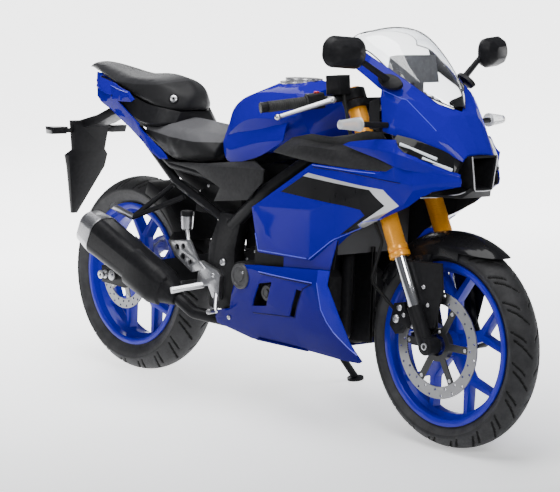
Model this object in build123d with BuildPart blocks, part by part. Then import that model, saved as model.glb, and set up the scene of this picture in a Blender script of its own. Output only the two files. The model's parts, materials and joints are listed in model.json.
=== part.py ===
from build123d import *

import os
from math import acos, atan2, cos, degrees, hypot, radians, sin, sqrt, tan

# Sport bike of the 250 cc class, parked on its side stand. Every piece is modelled upright in the
# bike's own frame: X runs forward from the rear axle, Y to the rider's left, Z up from the road, in
# millimetres. Tables give the right-hand side with Y counted outwards, and mirror() adds the left.
# The last section leans the whole bike onto its side stand and puts the origin on the road under
# the middle of its box.

# Wheels and steering geometry
WHEELBASE = 1380.0
RIM_SEAT_RADIUS = 216.0
FLANGE_HEIGHT = 13.0
FRONT_TYRE_HEIGHT = 76.0
FRONT_TYRE_WIDTH = 110.0
REAR_TYRE_HEIGHT = 97.0
REAR_TYRE_WIDTH = 140.0
RIM_FLANGE_RADIUS = RIM_SEAT_RADIUS + FLANGE_HEIGHT
FRONT_TYRE_RADIUS = RIM_SEAT_RADIUS + FRONT_TYRE_HEIGHT
REAR_TYRE_RADIUS = RIM_SEAT_RADIUS + REAR_TYRE_HEIGHT
RIM_WALL = 6.0
FRONT_RIM_INNER = 76.0
REAR_RIM_INNER = 102.0
SPOKE_COUNT = 5
RAKE_DEG = 26.0
FORK_OFFSET = 30.0
AXLE_LEAD = 12.0
FORK_HALF_SPACING = 98.0
AXLE_RADIUS = 10.0
AXLE_BORE = 6.0
REAR_AXLE_RADIUS = 9.0
FIT = 0.05
SEAT_GAP = 0.3
PANEL_WALL = 4.0

# Lean on the side stand
LEAN_DEG = 9.0

RAKE = radians(RAKE_DEG)
REAR_AXLE = Vector(0, 0, REAR_TYRE_RADIUS)
FRONT_AXLE = Vector(WHEELBASE, 0, FRONT_TYRE_RADIUS)
STEER_UP = Vector(-sin(RAKE), 0, cos(RAKE))
STEER_AHEAD = Vector(cos(RAKE), 0, sin(RAKE))
STEER_BASE = FRONT_AXLE - STEER_AHEAD * (FORK_OFFSET + AXLE_LEAD)

built = {}


def side(y):
    """Side-view plane at lateral place y: local x is X, local y is Z, and it extrudes towards -Y."""
    return Plane(origin=(0, y, 0), x_dir=(1, 0, 0), z_dir=(0, -1, 0))


def across(x):
    """Cross-section plane at station x: local x is Y and local y is Z."""
    return Plane.YZ.offset(x)


def on_steer(along, ahead=0.0, y=0.0):
    """Point given by its place along the steering axis, ahead of it and to the left."""
    return STEER_BASE + STEER_UP * along + STEER_AHEAD * ahead + Vector(0, y, 0)


def steer_plane(along, ahead=0.0, y=0.0):
    """Plane square to the steering axis: local x points ahead and local y to the left."""
    return Plane(origin=on_steer(along, ahead, y), x_dir=STEER_AHEAD, z_dir=STEER_UP)


def spoke_plane(axle, angle):
    """Section plane through an axle at an angle above the road: local x is Y and local y points outwards."""
    turn = radians(angle)
    return Plane(origin=axle, x_dir=(0, 1, 0), z_dir=(sin(turn), 0, -cos(turn)))


def both_sides(inner, outer):
    """The (low, high) lateral spans on the right and the left for places counted outwards."""
    return [(-outer, -inner), (inner, outer)]


def slab(outline, y_low, y_high, mode=Mode.ADD, about=(0.0, 0.0)):
    """Extrude a side-view outline, measured from a place, between two lateral places."""
    with BuildSketch(side(y_high)) as drawn:
        with BuildLine():
            Polyline(*[(x + about[0], z + about[1]) for x, z in outline], close=True)
        make_face()
    extrude(drawn.sketch, amount=y_high - y_low, mode=mode)


def pin(x, z, y_low, y_high, radius, mode=Mode.ADD):
    """Cylinder across the bike, in the part that is being built."""
    with BuildSketch(side(y_high)) as drawn:
        with Locations((x, z)):
            Circle(radius)
    extrude(drawn.sketch, amount=y_high - y_low, mode=mode)


def tube(points, radius, bend=60.0):
    """Round tube along straight runs joined by tangent arcs."""
    with BuildPart() as made:
        with BuildLine() as run:
            if len(points) > 2:
                FilletPolyline(*points, radius=bend)
            else:
                Line(*points)
        start = run.wires()[0]
        with BuildSketch(Plane(origin=start @ 0, z_dir=start % 0)):
            Circle(radius)
        sweep(path=start)
    return made.part


def rod(start, end, radius, end_radius=None):
    """Straight round bar or taper between two points."""
    start, end = Vector(*start), Vector(*end)
    run = end - start
    with BuildPart() as made:
        with BuildSketch(Plane(origin=start, z_dir=run)):
            Circle(radius)
        if end_radius is None:
            extrude(amount=run.length)
        else:
            with BuildSketch(Plane(origin=end, z_dir=run)):
                Circle(end_radius)
            loft()
    return made.part


def inset(points, wall):
    """Move an open run of (y, z) points by wall towards the bike's middle."""
    moved = []
    for i, (y, z) in enumerate(points):
        normals = []
        for a, b in ((i - 1, i), (i, i + 1)):
            if a >= 0 and b < len(points):
                run_y = points[b][0] - points[a][0]
                run_z = points[b][1] - points[a][1]
                length = hypot(run_y, run_z)
                normals.append((run_z / length, -run_y / length))
        normal_y = sum(n[0] for n in normals) / len(normals)
        normal_z = sum(n[1] for n in normals) / len(normals)
        grow = wall / (normal_y**2 + normal_z**2)
        if abs(y) < 1e-6:
            moved.append((0.0, z - wall))
        else:
            moved.append((y + normal_y * grow, z + normal_z * grow))
    return moved


def skin(stations, wall, ruled=False):
    """Right-hand panel skin lofted through stations of (x, [(y outwards, z), ...]) from top to bottom."""
    with BuildPart() as made:
        for x, points in stations:
            inner = inset(points, wall)
            ring = [(-y, z) for y, z in points] + [(-y, z) for y, z in reversed(inner)]
            with BuildSketch(across(x)):
                with BuildLine():
                    Polyline(*ring, close=True)
                make_face()
        loft(ruled=ruled)
    return made.part


def solid_loft(stations, ruled=False):
    """Closed body lofted through stations of (x, half section from bottom middle to top middle)."""
    with BuildPart() as made:
        for x, points in stations:
            right = [(-y, z) for y, z in points]
            left = [(y, z) for y, z in reversed(points) if y > 0]
            with BuildSketch(across(x)):
                with BuildLine():
                    Polyline(*right, *left, close=True)
                make_face()
        loft(ruled=ruled)
    return made.part


def biggest(part):
    """The largest solid of a part, without the stubs that a cut leaves."""
    return max(part.solids(), key=lambda solid: solid.volume)


FAR = 600.0


def cut_from(blank, outline, windows=()):
    """Keep the part of a blank inside a side-view outline, less its windows."""
    with BuildPart() as made:
        add(blank)
        slab(outline, -FAR, 0.0, mode=Mode.INTERSECT)
        for window in windows:
            slab(window, -FAR, 0.0, mode=Mode.SUBTRACT)
    return made.part


# Tyres: crown arc, sidewall arcs and the beads that sit between the rim flanges
BEAD_TOP = 3.0
# columns: name, axle, outer radius, width, rim inner width, crown drop
TYRES = [
    ("front_tyre", FRONT_AXLE, FRONT_TYRE_RADIUS, FRONT_TYRE_WIDTH, FRONT_RIM_INNER, 34.0),
    ("rear_tyre", REAR_AXLE, REAR_TYRE_RADIUS, REAR_TYRE_WIDTH, REAR_RIM_INNER, 40.0),
]
for name, axle, radius, width, inner, drop in TYRES:
    bead = inner / 2 - SEAT_GAP
    low = RIM_SEAT_RADIUS + SEAT_GAP
    high = RIM_FLANGE_RADIUS + BEAD_TOP
    shoulder = radius - drop
    bulge = ((bead + width / 2) / 2 + 3.0, (high + shoulder) / 2 - 3.0)
    z = axle.Z
    with BuildPart() as tyre:
        with BuildSketch(across(axle.X)):
            with BuildLine():
                ThreePointArc((-width / 2, z + shoulder), (0, z + radius), (width / 2, z + shoulder))
                ThreePointArc((width / 2, z + shoulder), (bulge[0], z + bulge[1]), (bead, z + high))
                Polyline((bead, z + high), (bead, z + low), (-bead, z + low), (-bead, z + high))
                ThreePointArc((-bead, z + high), (-bulge[0], z + bulge[1]), (-width / 2, z + shoulder))
            make_face()
        revolve(axis=Axis((axle.X, 0, z), (0, 1, 0)))
    built[name] = tyre

# Rims: drop-centre barrel, hub and Y-shaped spokes
FLANGE_WIDTH = 7.0
WELL_DEPTH = 14.0
WELL_HALF = 14.0
SEAT_RUN = 20.0
HUB_RADIUS = 42.0
SPOKE_FORK_RADIUS = 128.0
SPOKE_TRUNK = 30.0
SPOKE_BRANCH = 17.0
BRANCH_SPREAD_DEG = 17.0
# columns: name, axle, rim inner width, axle radius, hub half length, spoke thickness
RIMS = [
    ("front_rim", FRONT_AXLE, FRONT_RIM_INNER, AXLE_RADIUS, 52.0, 30.0),
    ("rear_rim", REAR_AXLE, REAR_RIM_INNER, REAR_AXLE_RADIUS, 66.0, 36.0),
]
for name, axle, inner, bore, hub_half, thick in RIMS:
    half = inner / 2
    z = axle.Z
    well = RIM_SEAT_RADIUS - WELL_DEPTH
    outer_side = [
        (half + FLANGE_WIDTH, RIM_FLANGE_RADIUS),
        (half, RIM_FLANGE_RADIUS),
        (half, RIM_SEAT_RADIUS),
        (half - SEAT_RUN, RIM_SEAT_RADIUS),
        (WELL_HALF, well),
    ]
    inner_side = [
        (WELL_HALF, well - RIM_WALL),
        (half - SEAT_RUN, RIM_SEAT_RADIUS - RIM_WALL),
        (half + FLANGE_WIDTH - 3.0, RIM_SEAT_RADIUS - RIM_WALL),
        (half + FLANGE_WIDTH, RIM_SEAT_RADIUS),
    ]
    ring = outer_side + [(-y, r) for y, r in reversed(outer_side)]
    ring += [(-y, r) for y, r in reversed(inner_side)] + inner_side
    with BuildPart() as rim:
        with BuildSketch(across(axle.X)):
            with BuildLine():
                Polyline(*[(y, z + r) for y, r in ring], close=True)
            make_face()
        revolve(axis=Axis((axle.X, 0, z), (0, 1, 0)))
        wheel_plane = Plane(origin=(axle.X, thick / 2, z), x_dir=(1, 0, 0), z_dir=(0, -1, 0))
        reach = well - RIM_WALL + 3.0
        with BuildSketch(wheel_plane):
            Circle(HUB_RADIUS)
            with PolarLocations(0, SPOKE_COUNT, start_angle=90):
                Polygon(
                    (HUB_RADIUS - 8.0, SPOKE_TRUNK / 2 + 4.0),
                    (SPOKE_FORK_RADIUS, SPOKE_TRUNK / 2),
                    (SPOKE_FORK_RADIUS, -SPOKE_TRUNK / 2),
                    (HUB_RADIUS - 8.0, -SPOKE_TRUNK / 2 - 4.0),
                    align=None,
                )
                for way in (-1, 1):
                    tip = radians(way * BRANCH_SPREAD_DEG)
                    tip_x, tip_y = reach * cos(tip), reach * sin(tip)
                    Polygon(
                        (SPOKE_FORK_RADIUS - 12.0, way * SPOKE_TRUNK / 2),
                        (tip_x, tip_y + way * SPOKE_BRANCH / 2),
                        (tip_x, tip_y - way * SPOKE_BRANCH / 2),
                        (SPOKE_FORK_RADIUS - 4.0, way * (SPOKE_TRUNK / 2 - SPOKE_BRANCH)),
                        align=None,
                    )
        extrude(amount=thick)
        pin(axle.X, z, -hub_half, hub_half, HUB_RADIUS - 6.0)
        pin(axle.X, z, -hub_half, hub_half, bore + FIT, mode=Mode.SUBTRACT)
    built[name] = rim

# Brake discs: drilled ring on a spider that bolts to the hub
DISC_THICK = 4.5
FRONT_DISC_Y = -68.0
REAR_DISC_Y = -84.0
DISC_HOLE_RADIUS = 3.5
# columns: name, axle, lateral place, outer radius, ring width, spider hole radius, arms, hub half length
DISCS = [
    ("front_disc", FRONT_AXLE, FRONT_DISC_Y, 149.0, 34.0, 30.0, 6, 52.0),
    ("rear_disc", REAR_AXLE, REAR_DISC_Y, 110.0, 30.0, 30.0, 5, 66.0),
]
for name, axle, y, radius, ring_width, bore, arms, hub_half in DISCS:
    ring_inner = radius - ring_width
    with BuildPart() as disc:
        with BuildSketch(side(y + DISC_THICK / 2)):
            with Locations((axle.X, axle.Z)):
                Circle(radius)
                Circle(ring_inner, mode=Mode.SUBTRACT)
                Circle(bore + 16.0)
                Circle(bore, mode=Mode.SUBTRACT)
                with PolarLocations((bore + ring_inner) / 2 + 8.0, arms):
                    Rectangle(ring_inner - bore, 20.0)
                for row, shift in ((0.25, 0.0), (0.75, 9.0)):
                    with PolarLocations(ring_inner + ring_width * row, 20, start_angle=shift):
                        Circle(DISC_HOLE_RADIUS, mode=Mode.SUBTRACT)
        extrude(amount=DISC_THICK)
        with BuildSketch(side(-hub_half)):
            with Locations((axle.X, axle.Z)):
                Circle(bore + 16.0)
                Circle(bore, mode=Mode.SUBTRACT)
        extrude(amount=-hub_half - y)
    built[name] = disc

# Rear sprocket and drive chain on the left: teeth turn in the groove between the chain's side plates
CHAIN_Y = 92.0
CHAIN_PITCH = 15.875
REAR_TEETH = 43
FRONT_TEETH = 14
CHAIN_PLATE = 7.5
CHAIN_WIDTH = 17.0
CHAIN_GROOVE = 9.0
SPROCKET_THICK = 6.0
SPROCKET_TOOTH = [(-9, 4), (0, 1.5), (0, -1.5), (-9, -4)]
ROLLER_DEPTH = 1.0
TOOTH_GAP = 2.5
CHAIN_ROOM = 6.0
OUTPUT_SHAFT = (598.0, 405.0)
rear_pitch = CHAIN_PITCH / 2 / sin(radians(180 / REAR_TEETH))
front_pitch = CHAIN_PITCH / 2 / sin(radians(180 / FRONT_TEETH))
tooth_tip = rear_pitch - ROLLER_DEPTH - TOOTH_GAP
with BuildPart() as sprocket:
    with BuildSketch(side(CHAIN_Y + SPROCKET_THICK / 2)):
        with Locations((REAR_AXLE.X, REAR_AXLE.Z)):
            Circle(tooth_tip - 6.0)
            Circle(tooth_tip - 40.0, mode=Mode.SUBTRACT)
            with PolarLocations(0, REAR_TEETH):
                Polygon(*[(tooth_tip + x, y) for x, y in SPROCKET_TOOTH], align=None)
            Circle(46.0)
            with PolarLocations((tooth_tip + 20.0) / 2, 5):
                Rectangle(tooth_tip - 60.0, 22.0)
            Circle(30.0, mode=Mode.SUBTRACT)
    extrude(amount=SPROCKET_THICK)
    with BuildSketch(side(CHAIN_Y)):
        with Locations((REAR_AXLE.X, REAR_AXLE.Z)):
            Circle(46.0)
            Circle(30.0, mode=Mode.SUBTRACT)
    extrude(amount=CHAIN_Y - RIMS[1][4])
built["rear_sprocket"] = sprocket


def chain_hull(grow, y_low, y_high, mode=Mode.ADD):
    """Slab inside a belt line round both sprockets, at a given distance outside the pitch line."""
    with BuildSketch(side(y_high)) as drawn:
        with Locations((REAR_AXLE.X, REAR_AXLE.Z)):
            Circle(rear_pitch + grow)
        with Locations(OUTPUT_SHAFT):
            Circle(front_pitch + grow)
        make_hull()
    extrude(drawn.sketch, amount=y_high - y_low, mode=mode)


def waist_places():
    """Places halfway along every link, as (x, z, degrees of the link's outward side)."""
    start, end = Vector(REAR_AXLE.X, REAR_AXLE.Z), Vector(*OUTPUT_SHAFT)
    span = end - start
    heading = degrees(atan2(span.Y, span.X))
    tilt = degrees(acos((rear_pitch - front_pitch) / span.length))
    run = sqrt(span.length**2 - (rear_pitch - front_pitch) ** 2)
    places = []
    for way in (-1, 1):
        angle = heading + way * tilt
        out = Vector(cos(radians(angle)), sin(radians(angle)))
        along = Vector(out.Y, -out.X) * way
        for link in range(int(run / CHAIN_PITCH)):
            point = start + out * rear_pitch + along * (CHAIN_PITCH * (link + 0.5))
            places.append((point.X, point.Y, angle))
    # columns: centre, pitch radius, first angle, last angle
    for centre, radius, first, last in (
        (start, rear_pitch, heading + tilt, heading + 360 - tilt),
        (end, front_pitch, heading - tilt, heading + tilt),
    ):
        step = degrees(CHAIN_PITCH / radius)
        for link in range(int((last - first) / step)):
            angle = first + step * (link + 0.5)
            point = centre + Vector(cos(radians(angle)), sin(radians(angle))) * radius
            places.append((point.X, point.Y, angle))
    return places


LINK_WAIST = [(CHAIN_PLATE - 2.2, 0.0), (CHAIN_PLATE + 1.0, -4.0), (CHAIN_PLATE + 1.0, 4.0)]
with BuildPart() as chain:
    low, high = CHAIN_Y - CHAIN_WIDTH / 2, CHAIN_Y + CHAIN_WIDTH / 2
    with BuildSketch(side(high)) as plates:
        with Locations((REAR_AXLE.X, REAR_AXLE.Z)):
            Circle(rear_pitch + CHAIN_PLATE)
        with Locations(OUTPUT_SHAFT):
            Circle(front_pitch + CHAIN_PLATE)
        make_hull()
        for x, z, angle in waist_places():
            with Locations(Location((x, z, 0), (0, 0, angle))):
                Polygon(*LINK_WAIST, align=None, mode=Mode.SUBTRACT)
    extrude(plates.sketch, amount=high - low)
    chain_hull(-CHAIN_PLATE, low, high, mode=Mode.SUBTRACT)
    chain_hull(-ROLLER_DEPTH, CHAIN_Y - CHAIN_GROOVE / 2, CHAIN_Y + CHAIN_GROOVE / 2, mode=Mode.SUBTRACT)
built["chain"] = chain

with BuildPart() as chain_path:
    low, high = CHAIN_Y - CHAIN_WIDTH / 2 - 2.5, CHAIN_Y + CHAIN_WIDTH / 2 + 2.5
    chain_hull(CHAIN_PLATE + CHAIN_ROOM, low, high)
    chain_hull(-CHAIN_PLATE - CHAIN_ROOM, low, high, mode=Mode.SUBTRACT)

# Fork: stem, clamps, gold outer tubes, bright inner tubes, black feet and the hollow axle
TUBE_RADIUS = 26.0
COLLAR_RADIUS = 30.0
INNER_RADIUS = 18.5
FOOT_RADIUS = 22.0
TUBE_LOW = 262.0
TUBE_HIGH = 762.0
FOOT_HIGH = 118.0
LOWER_CLAMP = (532.0, 566.0)
UPPER_CLAMP = (702.0, 724.0)
HEAD_TUBE = (572.0, 696.0)
HEAD_TUBE_RADIUS = 27.0
STEM_RADIUS = 15.0
STEM_BORE = 9.0
with BuildPart() as stem:
    with BuildSketch(steer_plane(LOWER_CLAMP[0] - 12.0)):
        Circle(STEM_RADIUS)
        Circle(STEM_BORE, mode=Mode.SUBTRACT)
    extrude(amount=UPPER_CLAMP[1] - LOWER_CLAMP[0] + 24.0)
built["steering_stem"] = stem

with BuildPart() as clamps:
    for low, high in (LOWER_CLAMP, UPPER_CLAMP):
        with BuildSketch(steer_plane(low)):
            Circle(30.0)
            with Locations((FORK_OFFSET, -FORK_HALF_SPACING), (FORK_OFFSET, FORK_HALF_SPACING)):
                Circle(TUBE_RADIUS + 9.0)
            make_hull()
            Circle(STEM_RADIUS + FIT, mode=Mode.SUBTRACT)
            with Locations((FORK_OFFSET, -FORK_HALF_SPACING), (FORK_OFFSET, FORK_HALF_SPACING)):
                Circle(TUBE_RADIUS + FIT, mode=Mode.SUBTRACT)
        extrude(amount=high - low)
built["fork_clamps"] = clamps

with BuildPart() as fork_tubes:
    for y in (-FORK_HALF_SPACING, FORK_HALF_SPACING):
        # columns: start along the axis, end, outer radius
        for low, high, radius in (
            (TUBE_LOW, TUBE_HIGH, TUBE_RADIUS),
            (TUBE_LOW, TUBE_LOW + 14.0, COLLAR_RADIUS),
            (TUBE_LOW + 18.0, TUBE_LOW + 34.0, COLLAR_RADIUS - 1.5),
        ):
            with BuildSketch(steer_plane(low, FORK_OFFSET, y)):
                Circle(radius)
            extrude(amount=high - low)
        with BuildSketch(steer_plane(TUBE_LOW, FORK_OFFSET, y)):
            Circle(INNER_RADIUS + SEAT_GAP)
        extrude(amount=TUBE_HIGH - TUBE_LOW - 20.0, mode=Mode.SUBTRACT)
built["fork_outer_tubes"] = fork_tubes

with BuildPart() as fork_inners:
    for y in (-FORK_HALF_SPACING, FORK_HALF_SPACING):
        with BuildSketch(steer_plane(FOOT_HIGH, FORK_OFFSET, y)):
            Circle(INNER_RADIUS)
        extrude(amount=TUBE_LOW - FOOT_HIGH + 180.0)
built["fork_inner_tubes"] = fork_inners

FOOT_BOSS_RADIUS = 25.0
FOOT_HALF_WIDTH = 20.0
with BuildPart() as fork_feet:
    for y in (-FORK_HALF_SPACING, FORK_HALF_SPACING):
        with BuildSketch(steer_plane(8.0, FORK_OFFSET, y)):
            Circle(FOOT_RADIUS)
        extrude(amount=FOOT_HIGH - 8.0)
        pin(FRONT_AXLE.X, FRONT_AXLE.Z, y - FOOT_HALF_WIDTH, y + FOOT_HALF_WIDTH, FOOT_BOSS_RADIUS)
        pin(FRONT_AXLE.X, FRONT_AXLE.Z, y - FAR, y + FAR, AXLE_RADIUS + FIT, mode=Mode.SUBTRACT)
built["fork_feet"] = fork_feet

AXLE_HALF = FORK_HALF_SPACING + FOOT_HALF_WIDTH + 4.0
with BuildPart() as front_axle:
    pin(FRONT_AXLE.X, FRONT_AXLE.Z, -AXLE_HALF, AXLE_HALF, AXLE_RADIUS)
    for low, high in both_sides(RIMS[0][4] + SEAT_GAP, FORK_HALF_SPACING - FOOT_RADIUS - SEAT_GAP):
        pin(FRONT_AXLE.X, FRONT_AXLE.Z, low, high, AXLE_RADIUS + 6.0)
    pin(FRONT_AXLE.X, FRONT_AXLE.Z, -AXLE_HALF, AXLE_HALF, AXLE_BORE, mode=Mode.SUBTRACT)
built["front_axle"] = front_axle

# Front brake caliper behind the right leg, bridging the disc
CALIPER_SLOT = DISC_THICK + 3.0
AT_FRONT_AXLE = (FRONT_AXLE.X, FRONT_AXLE.Z)
# side-view outlines measured from the front axle
CALIPER_BODY = [(-155, 38), (-130, 14), (-90, 68), (-102, 108), (-140, 100)]
CALIPER_LUG = [(-118, 46), (-54, 34), (-48, 58), (-108, 92)]
with BuildPart() as front_caliper:
    slab(CALIPER_BODY, FRONT_DISC_Y - 34.0, FRONT_DISC_Y + 16.0, about=AT_FRONT_AXLE)
    slot_low, slot_high = FRONT_DISC_Y - CALIPER_SLOT / 2, FRONT_DISC_Y + CALIPER_SLOT / 2
    pin(*AT_FRONT_AXLE, slot_low, slot_high, 152.0, mode=Mode.SUBTRACT)
    pin(*AT_FRONT_AXLE, FRONT_DISC_Y, FAR, 112.0, mode=Mode.SUBTRACT)
    slab(CALIPER_LUG, FRONT_DISC_Y - 36.0, FRONT_DISC_Y - 24.0, about=AT_FRONT_AXLE)
    add(fork_feet.part, mode=Mode.SUBTRACT)
built["front_caliper"] = front_caliper

# Front fender over the tyre, with the leg guards that bolt it to the fork
FENDER_GAP = 16.0
FENDER_HALF = 62.0
FENDER_WALL = 3.5
fender_crown = FRONT_TYRE_RADIUS + FENDER_GAP
FENDER_SKIRT = 246.0
FENDER_START_DEG = 48.0
FENDER_END_DEG = 146.0
GUARD_Y = 75.0
# side-view outlines measured from the front axle
LEG_GUARD = [(-88, 208), (-34, 226), (-2, 125), (8, 49), (-18, 26), (-54, 88), (-80, 158)]
GUARD_BRIDGE = [(-88, 208), (-34, 220), (-40, 246), (-86, 238)]
FENDER_BEAK = [(60, 108), (60, 260), (205, 254), (260, 108)]
with BuildPart() as fender:
    with BuildSketch(spoke_plane(FRONT_AXLE, FENDER_START_DEG)):
        with BuildLine():
            for grow in (0.0, FENDER_WALL):
                ThreePointArc(
                    (-FENDER_HALF - grow, FENDER_SKIRT + 30.0),
                    (0, fender_crown + grow),
                    (FENDER_HALF + grow, FENDER_SKIRT + 30.0),
                )
            for way in (-1, 1):
                Polyline(
                    (way * FENDER_HALF, FENDER_SKIRT + 30.0),
                    (way * FENDER_HALF, FENDER_SKIRT),
                    (way * (FENDER_HALF + FENDER_WALL), FENDER_SKIRT),
                    (way * (FENDER_HALF + FENDER_WALL), FENDER_SKIRT + 30.0),
                )
        make_face()
    revolve(axis=Axis(FRONT_AXLE, (0, 1, 0)), revolution_arc=FENDER_START_DEG - FENDER_END_DEG)
    slab(FENDER_BEAK, -FAR, FAR, mode=Mode.SUBTRACT, about=AT_FRONT_AXLE)
    for low, high in both_sides(GUARD_Y, GUARD_Y + PANEL_WALL):
        slab(LEG_GUARD, low, high, about=AT_FRONT_AXLE)
    for low, high in both_sides(FENDER_HALF, GUARD_Y + PANEL_WALL):
        slab(GUARD_BRIDGE, low, high, about=AT_FRONT_AXLE)
    for fork_piece in (fork_tubes, fork_inners, fork_feet):
        add(fork_piece.part, mode=Mode.SUBTRACT)
built["front_fender"] = fender

# Handlebars: clip-on rings round the fork tubes and bars that sweep back, down and outwards
BAR_RADIUS = 11.0
BAR_RING = (726.0, 756.0)
BAR_REACH = Vector(-106, 254, -35)
bar_root = on_steer(sum(BAR_RING) / 2, FORK_OFFSET, FORK_HALF_SPACING)
bar_end = bar_root + BAR_REACH
bar_run = BAR_REACH.normalized()


def on_bar(distance):
    """Point on the left bar's centre line, by distance from the fork tube's centre."""
    return bar_root + bar_run * distance


BAR_LENGTH = BAR_REACH.length
GRIP_START = BAR_LENGTH - 138.0
GRIP_END = BAR_LENGTH - 22.0
GRIP_RADIUS = 16.0
with BuildPart() as handlebars:
    with BuildSketch(steer_plane(BAR_RING[0], FORK_OFFSET, FORK_HALF_SPACING)):
        Circle(TUBE_RADIUS + 10.0)
    extrude(amount=BAR_RING[1] - BAR_RING[0])
    add(rod(on_bar(20.0), bar_end, BAR_RADIUS))
    add(rod(on_bar(GRIP_END + SEAT_GAP), bar_end, GRIP_RADIUS - 1.0))
    with BuildSketch(steer_plane(BAR_RING[0], FORK_OFFSET, FORK_HALF_SPACING)):
        Circle(TUBE_RADIUS + FIT)
    extrude(amount=BAR_RING[1] - BAR_RING[0], mode=Mode.SUBTRACT)
    mirror(about=Plane.XZ)
built["handlebars"] = handlebars

with BuildPart() as grips:
    with BuildSketch(Plane(origin=on_bar(GRIP_START), z_dir=bar_run)):
        Circle(GRIP_RADIUS)
        Circle(BAR_RADIUS + SEAT_GAP, mode=Mode.SUBTRACT)
    extrude(amount=GRIP_END - GRIP_START)
    mirror(about=Plane.XZ)
built["grips"] = grips

SWITCH_LENGTH = 46.0
with BuildPart() as switches:
    switch_start = on_bar(GRIP_START - SWITCH_LENGTH - SEAT_GAP)
    with BuildSketch(Plane(origin=switch_start, x_dir=(0, 0, 1), z_dir=bar_run)):
        RectangleRounded(44.0, 38.0, 8.0)
        Circle(BAR_RADIUS + SEAT_GAP, mode=Mode.SUBTRACT)
    extrude(amount=SWITCH_LENGTH)
    mirror(about=Plane.XZ)

LEVER_PIVOT = bar_root + Vector(20, 98, -7)
LEVER_TIP = bar_root + Vector(-48, 240, -57)
with BuildPart() as levers:
    add(rod(LEVER_PIVOT, LEVER_TIP, 8.0, 6.0))
    with Locations(LEVER_TIP):
        Sphere(9.0)
    add(rod(on_bar(74.0), LEVER_PIVOT, 9.0))
    with Locations(LEVER_PIVOT):
        Sphere(9.5)
    add(handlebars.part, mode=Mode.SUBTRACT)
    add(switches.part, mode=Mode.SUBTRACT)
    mirror(about=Plane.XZ)

MASTER_PLACE = (bar_root.X - 9, -148, bar_root.Z + 5)
MASTER_SIZE = (60.0, 46.0)
MASTER_HEIGHT = 54.0
with BuildPart() as master:
    with BuildSketch(Plane(origin=MASTER_PLACE, x_dir=(1, 0, 0.1), z_dir=(-0.1, 0, 1))):
        RectangleRounded(*MASTER_SIZE, 8.0)
    extrude(amount=MASTER_HEIGHT)
    add(handlebars.part, mode=Mode.SUBTRACT)
with BuildPart() as bar_controls:
    add(switches.part)
    add(levers.part)
    add(master.part)
built["bar_controls"] = bar_controls

# Front brake hose: from the reservoir down the outside of the right leg, looped back to the caliper
HOSE_RADIUS = 5.0
HOSE_BEND = 24.0
# columns: place along the steering axis, ahead of it, to the left
HOSE_ON_LEG = [(640.0, 24.0, -146.0), (400.0, 10.0, -140.0), (322.0, -6.0, -112.0)]
# columns: x and z measured from the front axle, and y
HOSE_LOOP = [(-244, 148, -92), (-142, 74, -88)]
hose_start = Vector(MASTER_PLACE[0] + 23.0, MASTER_PLACE[1] - 2.0, MASTER_PLACE[2] + 4.0)
with BuildPart() as brake_hose:
    hose_run = [hose_start] + [on_steer(*place) for place in HOSE_ON_LEG]
    hose_run += [Vector(FRONT_AXLE.X + x, y, FRONT_AXLE.Z + z) for x, z, y in HOSE_LOOP]
    add(tube(hose_run, HOSE_RADIUS, HOSE_BEND))
    add(bar_controls.part, mode=Mode.SUBTRACT)
    add(front_caliper.part, mode=Mode.SUBTRACT)
built["brake_hose"] = brake_hose

# Frame: head tube, spars, seat rails and pivot plates
SPAR_RADIUS = 20.0
RAIL_RADIUS = 14.0
PIVOT = (520.0, 405.0)
PIVOT_PLATE = [(545, 575), (640, 575), (612, 470), (612, 310), (580, 284), (505, 284), (480, 340), (495, 470)]
PLATE_Y = (112.0, 150.0)
SHOCK_TOP = (535.0, 668.0)
# side-view outline measured from the head tube
NOSE_STAY = [(3, 16), (3, 54), (111, 51), (261, -34), (261, -69), (111, 16)]
with BuildPart() as frame:
    with BuildSketch(steer_plane(HEAD_TUBE[0])):
        Circle(HEAD_TUBE_RADIUS)
    extrude(amount=HEAD_TUBE[1] - HEAD_TUBE[0])
    head = on_steer((HEAD_TUBE[0] + HEAD_TUBE[1]) / 2 - 10.0)
    spar = [(head.X, 0, head.Z), (900, 118, 765), (740, 148, 655), (590, 140, 540)]
    upper_rail = [(720, 148, 645), (560, 126, 665), (260, 108, 690), (-60, 58, 830)]
    lower_rail = [(560, 132, 545), (280, 108, 640), (60, 78, 775)]
    for way in (-1, 1):
        add(tube([(x, way * y, z) for x, y, z in spar], SPAR_RADIUS, 90.0))
        for points in (upper_rail, lower_rail):
            add(tube([(x, way * y, z) for x, y, z in points], RAIL_RADIUS, 60.0))
    for low, high in both_sides(*PLATE_Y):
        slab(PIVOT_PLATE, low, high)
    add(rod((SHOCK_TOP[0], -122, SHOCK_TOP[1]), (SHOCK_TOP[0], 122, SHOCK_TOP[1]), RAIL_RADIUS))
    add(rod((180, -98, 718), (180, 98, 718), RAIL_RADIUS))
    add(rod((550, -120, 306), (550, 120, 306), RAIL_RADIUS))
    slab(NOSE_STAY, -30.0, 30.0, about=(head.X, head.Z))
    with BuildSketch(steer_plane(HEAD_TUBE[0])):
        Circle(STEM_RADIUS + FIT)
    extrude(amount=HEAD_TUBE[1] - HEAD_TUBE[0], mode=Mode.SUBTRACT)
    pin(*PIVOT, -FAR, FAR, 10.0, mode=Mode.SUBTRACT)

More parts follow.
